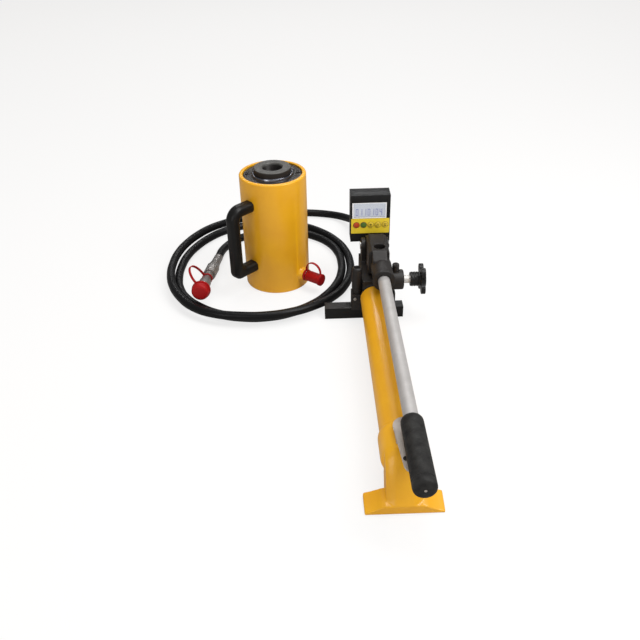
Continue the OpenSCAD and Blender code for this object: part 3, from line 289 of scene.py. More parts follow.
def make_mottle():
    """Soft cloudy variation from 0 to 1, for colour and gloss."""
    g, into, out = node_group("mottle", {"Scale": 40.0, "Contrast": 1.0}, "Value")
    where = add_node(g, "ShaderNodeTexCoord")
    noise = add_node(g, "ShaderNodeTexNoise", {"Vector": where.outputs["Object"],
                                               "Scale": into.outputs["Scale"],
                                               "Detail": 4.0, "Roughness": 0.6})
    centred = add_node(g, "ShaderNodeMath", {0: noise.outputs["Fac"], 1: 0.5}, operation="SUBTRACT")
    spread = add_node(g, "ShaderNodeMath", {0: centred.outputs[0], 1: into.outputs["Contrast"]},
                      operation="MULTIPLY")
    back = add_node(g, "ShaderNodeMath", {0: spread.outputs[0], 1: 0.5}, operation="ADD", use_clamp=True)
    g.links.new(back.outputs[0], out.inputs["Value"])
    return g


def make_grain():
    """Fine pits and bumps of a cast, moulded or sprayed skin."""
    g, into, out = node_group("grain", {"Scale": 900.0, "Waves": 60.0, "Wave share": 0.5}, "Height")
    where = add_node(g, "ShaderNodeTexCoord")
    fine = add_node(g, "ShaderNodeTexNoise", {"Vector": where.outputs["Object"],
                                              "Scale": into.outputs["Scale"],
                                              "Detail": 3.0, "Roughness": 0.7})
    broad = add_node(g, "ShaderNodeTexNoise", {"Vector": where.outputs["Object"],
                                               "Scale": into.outputs["Waves"], "Detail": 2.0})
    mix = add_node(g, "ShaderNodeMix", {0: into.outputs["Wave share"], MIX_FROM: fine.outputs["Fac"],
                                        MIX_TO: broad.outputs["Fac"]})
    g.links.new(mix.outputs[0], out.inputs["Height"])
    return g


def make_turning():
    """Fine tool lines round an axis at a place, from a lathe."""
    g, into, out = node_group("turning", {"Lines": 4000.0, "Axis X": 0.0, "Axis Y": 0.0}, "Height")
    where = add_node(g, "ShaderNodeTexCoord")
    centre = add_node(g, "ShaderNodeCombineXYZ", {"X": into.outputs["Axis X"], "Y": into.outputs["Axis Y"]})
    off = add_node(g, "ShaderNodeVectorMath", {0: where.outputs["Object"], 1: centre.outputs[0]},
                   operation="SUBTRACT")
    parts = add_node(g, "ShaderNodeSeparateXYZ", {0: off.outputs[0]})
    flat = add_node(g, "ShaderNodeCombineXYZ", {"X": parts.outputs["X"], "Y": parts.outputs["Y"]})
    radius = add_node(g, "ShaderNodeVectorMath", {0: flat.outputs[0]}, operation="LENGTH")
    both = add_node(g, "ShaderNodeMath", {0: radius.outputs["Value"], 1: parts.outputs["Z"]},
                    operation="ADD")
    rings = add_node(g, "ShaderNodeMath", {0: both.outputs[0], 1: into.outputs["Lines"]},
                     operation="MULTIPLY")
    noise = add_node(g, "ShaderNodeTexNoise", {"W": rings.outputs[0], "Scale": 1.0, "Detail": 2.0},
                     noise_dimensions="1D")
    g.links.new(noise.outputs["Fac"], out.inputs["Height"])
    return g


MOTTLE = make_mottle()
GRAIN = make_grain()
TURNING = make_turning()


def use_group(tree, group, **values):
    n = add_node(tree, "ShaderNodeGroup", node_tree=group)
    for key, value in values.items():
        n.inputs[key.replace("_", " ")].default_value = value
    return n


def material(name, colour, dark, rough, rough_more, metal=0.0, patch=40.0, contrast=1.4,
             skin=(900.0, 60.0, 0.4), bump=0.1, bump_depth=0.0002, lathe=None, **plain):
    """A finish whose colour drifts from dark to colour and whose gloss varies.

    Its relief is a skin (fine scale, wave scale, share of the waves), or the lines of a lathe
    about the Z axis.
    """
    m = bpy.data.materials.new(name)
    m.use_nodes = True
    tree = m.node_tree
    shader = tree.nodes["Principled BSDF"]
    cloud = use_group(tree, MOTTLE, Scale=patch, Contrast=contrast)
    tint = add_node(tree, "ShaderNodeMix", {0: cloud.outputs["Value"]}, data_type="RGBA")
    tint.inputs[TINT_FROM].default_value = (*dark, 1)
    tint.inputs[TINT_TO].default_value = (*colour, 1)
    tree.links.new(tint.outputs[TINT_OUT], shader.inputs["Base Color"])
    gloss = add_node(tree, "ShaderNodeMapRange", {"Value": cloud.outputs["Value"],
                                                  "To Min": rough + rough_more, "To Max": rough})
    tree.links.new(gloss.outputs[0], shader.inputs["Roughness"])
    if lathe:
        relief = use_group(tree, TURNING, Lines=lathe)
    else:
        relief = use_group(tree, GRAIN, Scale=skin[0], Waves=skin[1], Wave_share=skin[2])
    lift = add_node(tree, "ShaderNodeBump", {"Height": relief.outputs["Height"], "Strength": bump,
                                             "Distance": bump_depth})
    tree.links.new(lift.outputs[0], shader.inputs["Normal"])
    shader.inputs["Metallic"].default_value = metal
    for key, value in plain.items():
        shader.inputs[key.replace("_", " ")].default_value = value
    return m


# Paints

YELLOW_PAINT = material("yellow_enamel", (0.84, 0.44, 0.012), (0.74, 0.34, 0.007), 0.32, 0.1,
                        patch=22, contrast=1.3, skin=(700, 90, 0.8), bump=0.12,
                        Coat_Weight=0.25, Coat_Roughness=0.12, Specular_IOR_Level=0.4)
BLACK_PAINT = material("black_paint", (0.009, 0.0088, 0.0085), (0.005, 0.0048, 0.0046), 0.3, 0.14,
                       patch=60, skin=(1100, 160, 0.5), bump=0.3, Specular_IOR_Level=0.28)
CAST_BLACK = material("cast_black", (0.020, 0.0165, 0.0150), (0.010, 0.0085, 0.0078), 0.42, 0.16,
                      patch=45, skin=(1400, 260, 0.45), bump=0.6, bump_depth=0.0003,
                      Specular_IOR_Level=0.4)

# Metals

BLACK_STEEL = material("blackened_steel", (0.085, 0.081, 0.077), (0.03, 0.029, 0.028), 0.24, 0.14,
                       metal=0.8, patch=70, lathe=5200.0, bump=0.2, bump_depth=0.00008)
GLAND_STEEL = material("gland_steel", (0.05, 0.045, 0.043), (0.03, 0.027, 0.025), 0.34, 0.14,
                       metal=0.5, patch=50, contrast=0.8, lathe=4200.0, bump=0.12,
                       bump_depth=0.0001, Specular_IOR_Level=0.35)
# Lighter grey for the saddle's upward faces: painted light on its top
SADDLE_STEEL = material("saddle_steel", (0.104, 0.102, 0.096), (0.086, 0.084, 0.079), 0.42, 0.1,
                        metal=0.25, patch=40, contrast=0.8, lathe=5200.0, bump=0.1,
                        bump_depth=0.00008, Specular_IOR_Level=0.35)
BRIGHT_STEEL = material("bright_steel", (0.78, 0.77, 0.76), (0.60, 0.59, 0.58), 0.16, 0.16,
                        metal=1.0, patch=120, skin=(1500, 300, 0.4), bump=0.12)
TURNED_STEEL = material("turned_steel", (0.58, 0.57, 0.56), (0.40, 0.39, 0.38), 0.28, 0.14,
                        metal=1.0, patch=90, lathe=6000.0, bump=0.2, bump_depth=0.00006)
COUPLER_STEEL = material("coupler_steel", (0.58, 0.56, 0.54), (0.36, 0.34, 0.33), 0.28, 0.14,
                         metal=0.9, patch=110, skin=(1500, 300, 0.4), bump=0.15)
LEVER_STEEL = material("lever_steel", (0.52, 0.51, 0.505), (0.40, 0.39, 0.385), 0.44, 0.14,
                       metal=0.35, patch=55, skin=(900, 140, 0.5), bump=0.18)
STEM_STEEL = material("stem_steel", (0.74, 0.73, 0.71), (0.6, 0.59, 0.57), 0.36, 0.14,
                      metal=0.3, patch=110, skin=(1500, 300, 0.4), bump=0.12)
SPRING_STEEL = material("spring_steel", (0.34, 0.35, 0.37), (0.2, 0.2, 0.22), 0.3, 0.1, metal=1.0)
BRONZE = material("bearing_bronze", (0.42, 0.27, 0.11), (0.32, 0.19, 0.07), 0.35, 0.12, metal=1.0)

# Rubbers

HOSE_RUBBER = material("hose_rubber", (0.0055, 0.0055, 0.006), (0.0035, 0.0035, 0.004), 0.34, 0.1,
                       patch=35, skin=(900, 200, 0.5), bump=0.03, Specular_IOR_Level=0.2)
GRIP_RUBBER = material("grip_rubber", (0.024, 0.024, 0.023), (0.008, 0.0075, 0.0075), 0.5, 0.18,
                       patch=85, contrast=2.6, skin=(700, 240, 0.4), bump=0.8, bump_depth=0.0005,
                       Specular_IOR_Level=0.25)
SEAL_RUBBER = material("seal_rubber", (0.03, 0.028, 0.028), (0.018, 0.017, 0.017), 0.5, 0.1)
RED_RUBBER = material("red_rubber", (0.40, 0.004, 0.006), (0.27, 0.003, 0.004), 0.42, 0.14,
                      patch=90, skin=(900, 200, 0.5), bump=0.3, Specular_IOR_Level=0.22)

# Plastics of the gauge and the knob

GAUGE_PLASTIC = material("gauge_plastic", (0.010, 0.010, 0.0105), (0.0065, 0.0065, 0.007), 0.36, 0.1,
                         patch=50, skin=(2600, 600, 0.3), bump=0.3, Specular_IOR_Level=0.35)
KNOB_PLASTIC = material("knob_plastic", (0.012, 0.012, 0.0125), (0.007, 0.007, 0.0075), 0.28, 0.12,
                        patch=60, skin=(1500, 200, 0.4), bump=0.25, Specular_IOR_Level=0.3)
PANEL_YELLOW = material("panel_yellow", (0.88, 0.68, 0.04), (0.80, 0.58, 0.03), 0.34, 0.1,
                        patch=120, skin=(2500, 500, 0.4), bump=0.15)
KEY_RED = material("key_red", (0.58, 0.085, 0.018), (0.42, 0.05, 0.012), 0.32, 0.1, patch=300)
KEY_GREEN = material("key_green", (0.11, 0.21, 0.04), (0.06, 0.13, 0.02), 0.34, 0.1, patch=300)
KEY_YELLOW = material("key_yellow", (0.80, 0.60, 0.05), (0.66, 0.47, 0.035), 0.34, 0.1, patch=300)
KEY_RING = material("key_ring", (0.045, 0.035, 0.012), (0.03, 0.022, 0.009), 0.4, 0.1, patch=300)
KEY_DARK = material("key_dark_rim", (0.20, 0.05, 0.018), (0.12, 0.03, 0.012), 0.4, 0.1, patch=300)
KEY_SOFT = material("key_soft_rim", (0.40, 0.28, 0.03), (0.30, 0.20, 0.02), 0.36, 0.1, patch=300)

# Steels of the wiper and the lever rest

WIPER_STEEL = material("wiper_steel", (0.34, 0.35, 0.40), (0.12, 0.12, 0.14), 0.12, 0.12,
                       metal=1.0, patch=150)
REST_STEEL = material("rest_steel", (0.46, 0.415, 0.38), (0.36, 0.325, 0.29), 0.42, 0.14,
                      metal=0.3, patch=60, skin=(900, 140, 0.5), bump=0.15)

# Display, board and cell; the display's face and digits glow faintly, painted light

# The face glows faintly: painted light that brightens it inside the case's recess
LCD_FACE = material("lcd_face", (0.62, 0.64, 0.68), (0.58, 0.60, 0.65), 0.5, 0.04,
                    patch=25, contrast=0.6, skin=(3000, 500, 0.3), bump=0.01,
                    Emission_Color=(0.76, 0.78, 0.84, 1), Emission_Strength=0.5)
# The digits glow faintly too: painted light
LCD_DIGIT = material("lcd_digit", (0.18, 0.19, 0.40), (0.15, 0.16, 0.36), 0.5, 0.04, bump=0.01,
                     Emission_Color=(0.34, 0.36, 0.66, 1), Emission_Strength=0.42)
BOARD_GREEN = material("board_green", (0.04, 0.17, 0.06), (0.02, 0.1, 0.04), 0.4, 0.1)
CELL_WRAP = material("cell_wrap", (0.08, 0.12, 0.3), (0.05, 0.08, 0.2), 0.3, 0.1)
# The white frame glows faintly: painted light
FRAME_WHITE = material("frame_white", (0.84, 0.84, 0.86), (0.76, 0.76, 0.78), 0.4, 0.08,
                       patch=80, skin=(2500, 500, 0.4), bump=0.1,
                       Emission_Color=(0.9, 0.9, 0.92, 1), Emission_Strength=0.15)


def window_pane():
    """A clear pane: what is behind shows, with a thin reflection that grows at a slant."""
    m = bpy.data.materials.new("window_pane")
    m.use_nodes = True
    tree = m.node_tree
    tree.nodes.remove(tree.nodes["Principled BSDF"])
    clear = add_node(tree, "ShaderNodeBsdfTransparent", {"Color": (0.95, 0.96, 0.97, 1)})
    cloud = use_group(tree, MOTTLE, Scale=60.0, Contrast=1.2)
    gloss = add_node(tree, "ShaderNodeMapRange", {"Value": cloud.outputs["Value"],
                                                  "To Min": 0.14, "To Max": 0.04})
    shine = add_node(tree, "ShaderNodeBsdfGlossy", {"Roughness": gloss.outputs[0]})
    edge = add_node(tree, "ShaderNodeFresnel", {"IOR": 1.45})
    mix = add_node(tree, "ShaderNodeMixShader", {0: edge.outputs[0], 1: clear.outputs[0],
                                                 2: shine.outputs[0]})
    tree.links.new(mix.outputs[0], tree.nodes["Material Output"].inputs["Surface"])
    return m


GLASS = window_pane()

# The finish of each plain solid

NODE_FINISH = {
    "ram_body": YELLOW_PAINT, "centre_tube": TURNED_STEEL, "ram_plunger": BRIGHT_STEEL,
    "plunger_saddle": SADDLE_STEEL, "piston_seals": SEAL_RUBBER, "return_spring": SPRING_STEEL,
    "gland_nut": GLAND_STEEL, "rod_bearing": BRONZE, "rod_wiper": WIPER_STEEL, "ram_nipple": BRIGHT_STEEL,
    "ram_cap": RED_RUBBER, "ram_cap_strap": RED_RUBBER, "carry_handle": BLACK_PAINT,
    "handle_studs": BLACK_STEEL, "hose_fitting": BRIGHT_STEEL, "hose_ferrule": COUPLER_STEEL,
    "coupler_body": COUPLER_STEEL, "coupler_sleeve": COUPLER_STEEL, "hose_cap": RED_RUBBER,
    "hose_cap_strap": RED_RUBBER, "pump_head": CAST_BLACK, "cross_bar": BLACK_PAINT,
    "bar_screws": BLACK_STEEL, "reservoir_tube": YELLOW_PAINT, "tube_seals": SEAL_RUBBER,
    "suction_tube": TURNED_STEEL, "foot": YELLOW_PAINT, "side_block": CAST_BLACK,
    "filler_plug": CAST_BLACK, "drain_screw": TURNED_STEEL, "pump_plunger": TURNED_STEEL,
    "plunger_gland": GLAND_STEEL, "lever_socket": CAST_BLACK, "pivot_pin": TURNED_STEEL,
    "drive_pin": TURNED_STEEL, "lever_tube": LEVER_STEEL, "lever_grip": GRIP_RUBBER,
    "lever_screw": BLACK_STEEL, "lever_rest": REST_STEEL, "release_block": CAST_BLACK,
    "bleed_screw": CAST_BLACK, "release_needle": TURNED_STEEL, "release_stem": STEM_STEEL,
    "release_knob": KNOB_PLASTIC, "gauge_adaptor": BRIGHT_STEEL, "pressure_sensor": TURNED_STEEL,
    "gauge_case": GAUGE_PLASTIC, "gauge_back": GAUGE_PLASTIC, "key_panel": PANEL_YELLOW,
    "lcd_window": GLASS, "lcd_display": LCD_FACE, "circuit_board": BOARD_GREEN, "battery": CELL_WRAP,
    "key_red": KEY_RED, "key_green": KEY_GREEN, "key_left": KEY_YELLOW, "key_middle": KEY_YELLOW,
    "key_right": KEY_YELLOW, "case_screws": BRIGHT_STEEL, "hose": HOSE_RUBBER,
}

for node, finish in NODE_FINISH.items():
    cad = bpy.data.objects.get(node)
    if cad:
        for s in cad.material_slots:
            s.material = finish


def dress(o, finish):
    o.data.materials.clear()
    o.data.materials.append(finish)
    return o


def keep(o, finish, body, slot, *nodes):
    """Gives a new piece its finish, its body and the nodes that it stands for."""
    dress(o, finish)
    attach(o, body)
    if nodes:
        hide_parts(*nodes)
    return o


# Camera

CAM_PLACE = mm(53.9, -1197.1, 695.2)
CAM_PITCH = math.radians(33.51)
CAM_YAW = math.radians(0.80)
CAM_ROLL = math.radians(1.41)
CAM_LENS, CAM_SENSOR = 42.19, 36
CAM_SHIFT = 0.0035
CAM_NEAR = 0.05

cam = bpy.data.cameras.new("camera")
cam.sensor_width = CAM_SENSOR
cam.lens = CAM_LENS
cam.shift_x = CAM_SHIFT
cam.clip_start = CAM_NEAR
camera = bpy.data.objects.new("camera", cam)
bpy.context.scene.collection.objects.link(camera)
level = math.cos(CAM_PITCH)
ahead = Vector((math.sin(CAM_YAW) * level, math.cos(CAM_YAW) * level, -math.sin(CAM_PITCH)))
right = Vector((math.cos(CAM_YAW), -math.sin(CAM_YAW), 0))
up = right.cross(ahead)
side = right * math.cos(CAM_ROLL) - up * math.sin(CAM_ROLL)
top = up * math.cos(CAM_ROLL) + right * math.sin(CAM_ROLL)
facing = Matrix((side, top, -ahead)).transposed().to_4x4()
camera.matrix_world = Matrix.Translation(CAM_PLACE) @ facing
bpy.context.scene.camera = camera

# Hose

HOSE_STEPS, HOSE_ROUND_STEPS = 14, 6

curve = bpy.data.curves.new("rubber_hose", "CURVE")
curve.dimensions = "3D"
curve.resolution_u = HOSE_STEPS
curve.bevel_depth = HOSE_D / 2 * MM
curve.bevel_resolution = HOSE_ROUND_STEPS
curve.use_fill_caps = True
hose_line = curve.splines.new("BEZIER")
hose_line.bezier_points.add(len(ROUTE) - 1)
for bead, spot in zip(hose_line.bezier_points, ROUTE):
    bead.co = mm(*spot)
    bead.handle_left_type = bead.handle_right_type = "AUTO"
hose = bpy.data.objects.new("rubber_hose", curve)
bpy.context.scene.collection.objects.link(hose)
keep(hose, HOSE_RUBBER, "tester", "black_rubber", "hose")

# Ferrule: grows from thin to thick, with pressed waves along its middle and a collar at its end

AIM = Vector(ROUTE[-1]) - Vector(ROUTE[-2])
AIM_RISE = math.degrees(math.asin(AIM.z / AIM.length))
AIM_TURN = math.degrees(math.atan2(AIM.y, AIM.x))
COUPLER = placed(*ROUTE[-1]) @ spun(AIM_TURN, "Z") @ spun(90 - AIM_RISE, "Y")
FERRULE_BORE, FERRULE_THIN, FERRULE_THICK = 6.2, 8.0, 8.7
FERRULE_LENGTH, MOUTH_LENGTH = 46, 5
MOUTH_EDGE_IN, MOUTH_EDGE_UP = 0.5, 0.6
COLLAR_LENGTH, COLLAR_STEP, COLLAR_EDGE = 8, 0.7, 1
WAVES, WAVE_DEPTH = 3, 0.2
WAVE_SHARES = ((0.2, 0), (0.38, 1), (0.62, 1), (0.8, 0))


def ferrule_radius(z):
    return FERRULE_THIN + (FERRULE_THICK - FERRULE_THIN) * z / FERRULE_LENGTH


def ferrule_outline():
    line = [(FERRULE_BORE, 0), (FERRULE_THIN - MOUTH_EDGE_IN, 0), (FERRULE_THIN, MOUTH_EDGE_UP),
            (ferrule_radius(MOUTH_LENGTH), MOUTH_LENGTH)]
    span = (FERRULE_LENGTH - MOUTH_LENGTH - COLLAR_LENGTH - COLLAR_EDGE) / WAVES
    for i in range(WAVES):
        z = MOUTH_LENGTH + i * span
        line += [(ferrule_radius(z) - pressed * WAVE_DEPTH, z + along * span)
                 for along, pressed in WAVE_SHARES]
    collar = FERRULE_LENGTH - COLLAR_LENGTH
    return line + [(FERRULE_THICK, collar), (FERRULE_THICK + COLLAR_STEP, collar + COLLAR_EDGE),
                   (FERRULE_THICK + COLLAR_STEP, FERRULE_LENGTH - COLLAR_EDGE),
                   (FERRULE_THICK, FERRULE_LENGTH), (FERRULE_BORE, FERRULE_LENGTH)]


ferrule = smooth(turned("coupler_ferrule", ferrule_outline(), COUPLER), 50)
keep(ferrule, COUPLER_STEEL, "tester", "bright_steel", "hose_ferrule")

# Refining the plain solids

MERGE_GAP = 2e-6
FLAT_ANGLE = math.radians(0.6)


def copy_of(node):
    """A cleaned copy of a plain solid, for a finished piece to start from."""
    source = bpy.data.objects[node]
    o = bpy.data.objects.new(node + "_piece", source.data.copy())
    bpy.context.scene.collection.objects.link(o)
    o.matrix_world = source.matrix_world
    settle(o)
    bpy.ops.object.mode_set(mode="EDIT")
    bpy.ops.mesh.select_all(action="SELECT")
    bpy.ops.mesh.remove_doubles(threshold=MERGE_GAP)
    bpy.ops.mesh.dissolve_limited(angle_limit=FLAT_ANGLE)
    bpy.ops.mesh.normals_make_consistent(inside=False)
    bpy.ops.object.mode_set(mode="OBJECT")
    return o


def refine(node, body, slot, edge):
    """The same solid with its sharp edges broken."""
    return keep(soften(copy_of(node), edge), NODE_FINISH[node], body, slot, node)


# Node, body, slot and the width of the broken edges in millimetres
for item in (("gland_nut", "tester", "black_steel", 0.5), ("ram_nipple", "tester", "bright_steel", 0.4),
             ("rod_wiper", "tester", "bright_steel", 0.3), ("ram_cap", "port_cap", "red_rubber", 0.7),
             ("ram_cap_strap", "port_cap", "red_rubber", 0.35),
             ("hose_cap", "coupler_cap", "red_rubber", 0.6),
             ("hose_cap_strap", "coupler_cap", "red_rubber", 0.35),
             ("hose_fitting", "tester", "bright_steel", 0.5),
             ("coupler_body", "tester", "bright_steel", 0.6),
             ("coupler_sleeve", "sleeve", "bright_steel", 0.3), ("cross_bar", "tester", "black_paint", 1.2),
             ("side_block", "tester", "black_paint", 2.0), ("drain_screw", "tester", "bright_steel", 0.3),
             ("bleed_screw", "tester", "black_paint", 0.25),
             ("gauge_adaptor", "tester", "bright_steel", 0.4),
             ("gauge_case", "tester", "black_plastic", 1.6),
             ("gauge_back", "tester", "black_plastic", 1.2)):
    refine(*item)

# Ram: a turned body with rounded rims and a blended boss for its port

RAM_R, RAM_H, RAM_SIDES = 57, 205, 160
RAM_BORE_R, RAM_BASE_T = 46, 18
GLAND_R, GLAND_Z, GLAND_LIP = 50.5, 181, 0.6
CORE_R = 21.05
RAM_RIM, RAM_EDGE, RAM_EDGE_MID = 2.6, 1.4, 0.4
PORT_TURN, PORT_Z = -38, 26.5
PORT = spun(PORT_TURN, "Z") @ placed(0, 0, PORT_Z) @ spun(90, "Y")
BOSS_BORE, BOSS_FOOT, BOSS_END = 6.6, 52, 64
BOSS_LINE = [(13.6, BOSS_FOOT), (13.6, 55.6), (12.0, 56.9), (10.9, 58.4), (10.3, 60.4), (10, 62.6),
             (9.7, 63.5), (9.0, BOSS_END)]

ram_foot = [(CORE_R, 0), (RAM_R - RAM_EDGE, 0), (RAM_R - RAM_EDGE_MID, RAM_EDGE_MID), (RAM_R, RAM_EDGE)]
ram_rim = arc(RAM_R - RAM_RIM, RAM_H - RAM_RIM, RAM_RIM, 0, 90, 6)
ram_inside = [(GLAND_R + GLAND_LIP, RAM_H), (GLAND_R, RAM_H - GLAND_LIP), (GLAND_R, GLAND_Z),
              (RAM_BORE_R, GLAND_Z), (RAM_BORE_R, RAM_BASE_T), (CORE_R, RAM_BASE_T)]
ram = turned("ram_shell", ram_foot + ram_rim + ram_inside, steps=RAM_SIDES)
fuse(ram, turned("ram_boss", [(BOSS_BORE, BOSS_FOOT)] + BOSS_LINE + [(BOSS_BORE, BOSS_END)], PORT))
smooth(ram, 32)
keep(ram, YELLOW_PAINT, "tester", "yellow_paint", "ram_body")

# Saddle: a lighter grey on its upward faces, painted light, and the darker gland steel on its side, painted
# shade, with a thread in its hole

ROD_R, ROD_TOP, HOLE_R = 31.75, 203, 17
SPIGOT_R, SPIGOT_Z = 26, 191.3
SADDLE_TOP, SADDLE_RIM, SADDLE_MOUTH = 215, 1.4, 1.6
SADDLE_SIDES = 128
THREAD_TOP, THREAD_DEPTH, THREAD_STEP, THREAD_STEPS = 213.4, 1.0, 1.0, 21
FACING_UP = 0.5
LIT_TOP_FROM = 210

threads = [(HOLE_R + THREAD_DEPTH * (i % 2), THREAD_TOP - THREAD_STEP * i) for i in range(THREAD_STEPS)]
saddle_side = [(HOLE_R, SPIGOT_Z), (SPIGOT_R, SPIGOT_Z), (SPIGOT_R, ROD_TOP), (ROD_R, ROD_TOP),
               (ROD_R, SADDLE_TOP - SADDLE_RIM)]
saddle_rim = arc(ROD_R - SADDLE_RIM, SADDLE_TOP - SADDLE_RIM, SADDLE_RIM, 0, 90, 5)
saddle_mouth = [(HOLE_R + SADDLE_MOUTH, SADDLE_TOP)]
saddle = turned("ram_saddle", saddle_side + saddle_rim + saddle_mouth + threads, steps=SADDLE_SIDES)
smooth(saddle, 32)
keep(saddle, SADDLE_STEEL, "plunger", "black_steel", "plunger_saddle")
saddle.data.materials.append(GLAND_STEEL)
# Faces turned up and high on the saddle take the lighter grey, painted light on its top; the rest take the
# darker gland steel, painted shade on its side
for face in saddle.data.polygons:
    lit_top = face.normal.z > FACING_UP and face.center.z > LIT_TOP_FROM * MM
    face.material_index = 0 if lit_top else 1

# Return spring: a smoothed copy of the plain solid, which sits between the plunger and the gland, with a
# mesh of its own

spring = smooth(copy_of("return_spring"), 50)
keep(spring, SPRING_STEEL, "tester", "spring_steel", "return_spring")
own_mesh(spring)

# Carry handle: a rounded bar bent out of the ram's side, cut to fit its wall

HANDLE_WIDE, HANDLE_DEEP, HANDLE_ROUND = 21, 19, 7.4
HANDLE_ROOT, HANDLE_REACH = 44, 105
HANDLE_LOW, HANDLE_HIGH = 40, 172
BEND_LOW, BEND_HIGH, BEND_IN = 13, 25, 7
HANDLE_TURN = -134.6
WALL_FOOT, WALL_LENGTH, WALL_GAP = 20, 170, 0.02
HANDLE = spun(HANDLE_TURN, "Z") @ spun(90, "X") @ placed(0, 0, -HANDLE_WIDE / 2)

inner_x = HANDLE_REACH - HANDLE_DEEP - BEND_IN
handle_line = ([(HANDLE_ROOT, HANDLE_LOW)]
               + arc(HANDLE_REACH - BEND_LOW, HANDLE_LOW + BEND_LOW, BEND_LOW, -90, 0, 9)
               + arc(HANDLE_REACH - BEND_HIGH, HANDLE_HIGH - BEND_HIGH, BEND_HIGH, 0, 90, 14)
               + [(HANDLE_ROOT, HANDLE_HIGH), (HANDLE_ROOT, HANDLE_HIGH - HANDLE_DEEP)]
               + arc(inner_x, HANDLE_HIGH - HANDLE_DEEP - BEND_IN, BEND_IN, 90, 0, 8)
               + arc(inner_x, HANDLE_LOW + HANDLE_DEEP + BEND_IN, BEND_IN, 0, -90, 8)
               + [(HANDLE_ROOT, HANDLE_LOW + HANDLE_DEEP)])
handle = soften(plate("ram_handle", handle_line, HANDLE_WIDE, HANDLE), HANDLE_ROUND, 6, 50)
cut(handle, rod("ram_wall", (0, 0, WALL_FOOT), (0, 0, 1), RAM_R + WALL_GAP, WALL_LENGTH, RAM_SIDES))
smooth(handle, 40)
keep(handle, BLACK_PAINT, "tester", "black_paint", "carry_handle")

# Foot: ring, neck and flared plate cast as one; the neck is a stack of plates under the ring's curve

PUMP_X, TUBE_Z = 162, 46
RING_Y, RING_R, TOE_Y = -533, 26.5, -576
RING_LINE = [(0, 0), (22.6, 0), (25, 1.2), (26.2, 3.6), (RING_R, 8), (RING_R, 40), (26, 43.6), (25, 45.4),
             (24.2, 46), (23.2, 46), (23.2, 28), (0, 28)]
NECK_LINE = [(-530, 69), (-535, 66.6), (-541, 61.8), (-547, 55), (-553, 46.6), (-559, 37.2), (-565, 27.2),
             (-570, 19.6), (-574, 14.4), (TOE_Y, 12.2)]
NECK_BACK = [(TOE_Y, 0), (-542, 0), (-538, 7), (-531, 21), (-528, 24)]
NECK_WIDTHS = (44, 43.3, 42.4, 41.4, 40.2, 38.8, 37.2, 35.4, 33.4, 31, 28.4, 25.4, 22, 14)
NECK_CROWN, NECK_TOE_Z = 23.8, 11.6
WING_LINE = [(49, -12), (49, 8.0), (47.8, 9.0), (41, 11.2), (34, 14.2), (28, 17.4), (23, 19), (18, 18.6)]
WING_Y, WING_TILT, WING_DEEP = -545, 12.4, 40
CUT_SIDE, CUT_BACK, CUT_FRONT, CUT_LOW, CUT_HIGH = 62, -520, -640, -40, 60
FOOT_GRAIN, FOOT_ROUNDS = 0.8, 12

ring = turned("foot_ring", RING_LINE, placed(PUMP_X, RING_Y, TUBE_Z) @ spun(-90, "X"), 96)
layers = []
for wide in NECK_WIDTHS:
    lower = max(NECK_CROWN - math.sqrt(RING_R ** 2 - (wide / 2) ** 2), 0)
    crown = [(y, max(z - lower, NECK_TOE_Z)) for y, z in NECK_LINE]
    side_view = placed(PUMP_X - wide / 2, 0, 0) @ spun(90, "Z") @ spun(90, "X")
    layers.append(plate("foot_neck", crown + NECK_BACK, wide, side_view))
wings = plate("foot_wings", WING_LINE + [(-x, z) for x, z in reversed(WING_LINE)], WING_DEEP,
              placed(PUMP_X, WING_Y, 0) @ spun(WING_TILT, "X") @ spun(90, "X"))
cut(wings, block("under_floor", (PUMP_X - CUT_SIDE, CUT_FRONT, CUT_LOW), (PUMP_X + CUT_SIDE, CUT_BACK, 0)),
    block("before_toe", (PUMP_X - CUT_SIDE, CUT_FRONT, CUT_LOW), (PUMP_X + CUT_SIDE, TOE_Y, CUT_HIGH)))
foot = cast(join("pump_foot", ring, *layers, wings), FOOT_GRAIN, FOOT_ROUNDS)
keep(foot, YELLOW_PAINT, "tester", "yellow_paint", "foot")

# Lever casting, pump head, release valve: sand-cast pieces with rubbed edges

for node, body, grain, rounds in (("lever_socket", "lever", 0.8, 9), ("pump_head", "tester", 1.0, 5),
                                  ("release_block", "tester", 0.6, 4)):
    keep(cast(copy_of(node), grain, rounds), CAST_BLACK, body, "black_paint", node)

# Release knob: a cross-shaped hand wheel with raised rings on its hub

# The valve and the filler cap stand on one line across the pump head
CROSS_Y, VALVE_Z = -140, 70
HUB_RINGS, HUB_RING_X, HUB_RING_STEP = 3, 223.5, 4.2
HUB_RING_LINE = [(8, 0), (12, 0), (12, 1.6), (8, 1.6)]
KNOB_GRAIN, KNOB_ROUNDS = 0.55, 5

hub_rings = [turned("hub_ring", HUB_RING_LINE,
                    placed(HUB_RING_X + HUB_RING_STEP * i, CROSS_Y, VALVE_Z) @ spun(90, "Y"), 48)
             for i in range(HUB_RINGS)]
knob = cast(join("release_cross", copy_of("release_knob"), *hub_rings), KNOB_GRAIN, KNOB_ROUNDS)
keep(knob, KNOB_PLASTIC, "release", "knob_plastic", "release_knob")

# Filler cap: a sleeve with a groove near its foot and a socket in its top, on the side block

BLOCK_TOP, CAP_LEFT = 48.5, 1.2
CAP_LINE = [(0, -8), (4, -8), (4, 0), (8.4, 0), (8.4, 6), (7.7, 6.8), (7.7, 8.4), (8.4, 9.2), (8.4, 42.6),
            (7.9, 44.8), (6.6, 46.2), (5.2, 46.6), (4.5, 45.8), (4.3, 40.5), (0, 40.5)]

plug_low, plug_high = limits("filler_plug")
plug_x = (plug_low[0] + plug_high[0]) / 2 - CAP_LEFT
plug = smooth(turned("filler_cap", CAP_LINE, placed(plug_x, CROSS_Y, BLOCK_TOP)), 40)
keep(plug, CAST_BLACK, "tester", "black_paint", "filler_plug")

# Lever rest: a tapered plate on its pad, with a screw

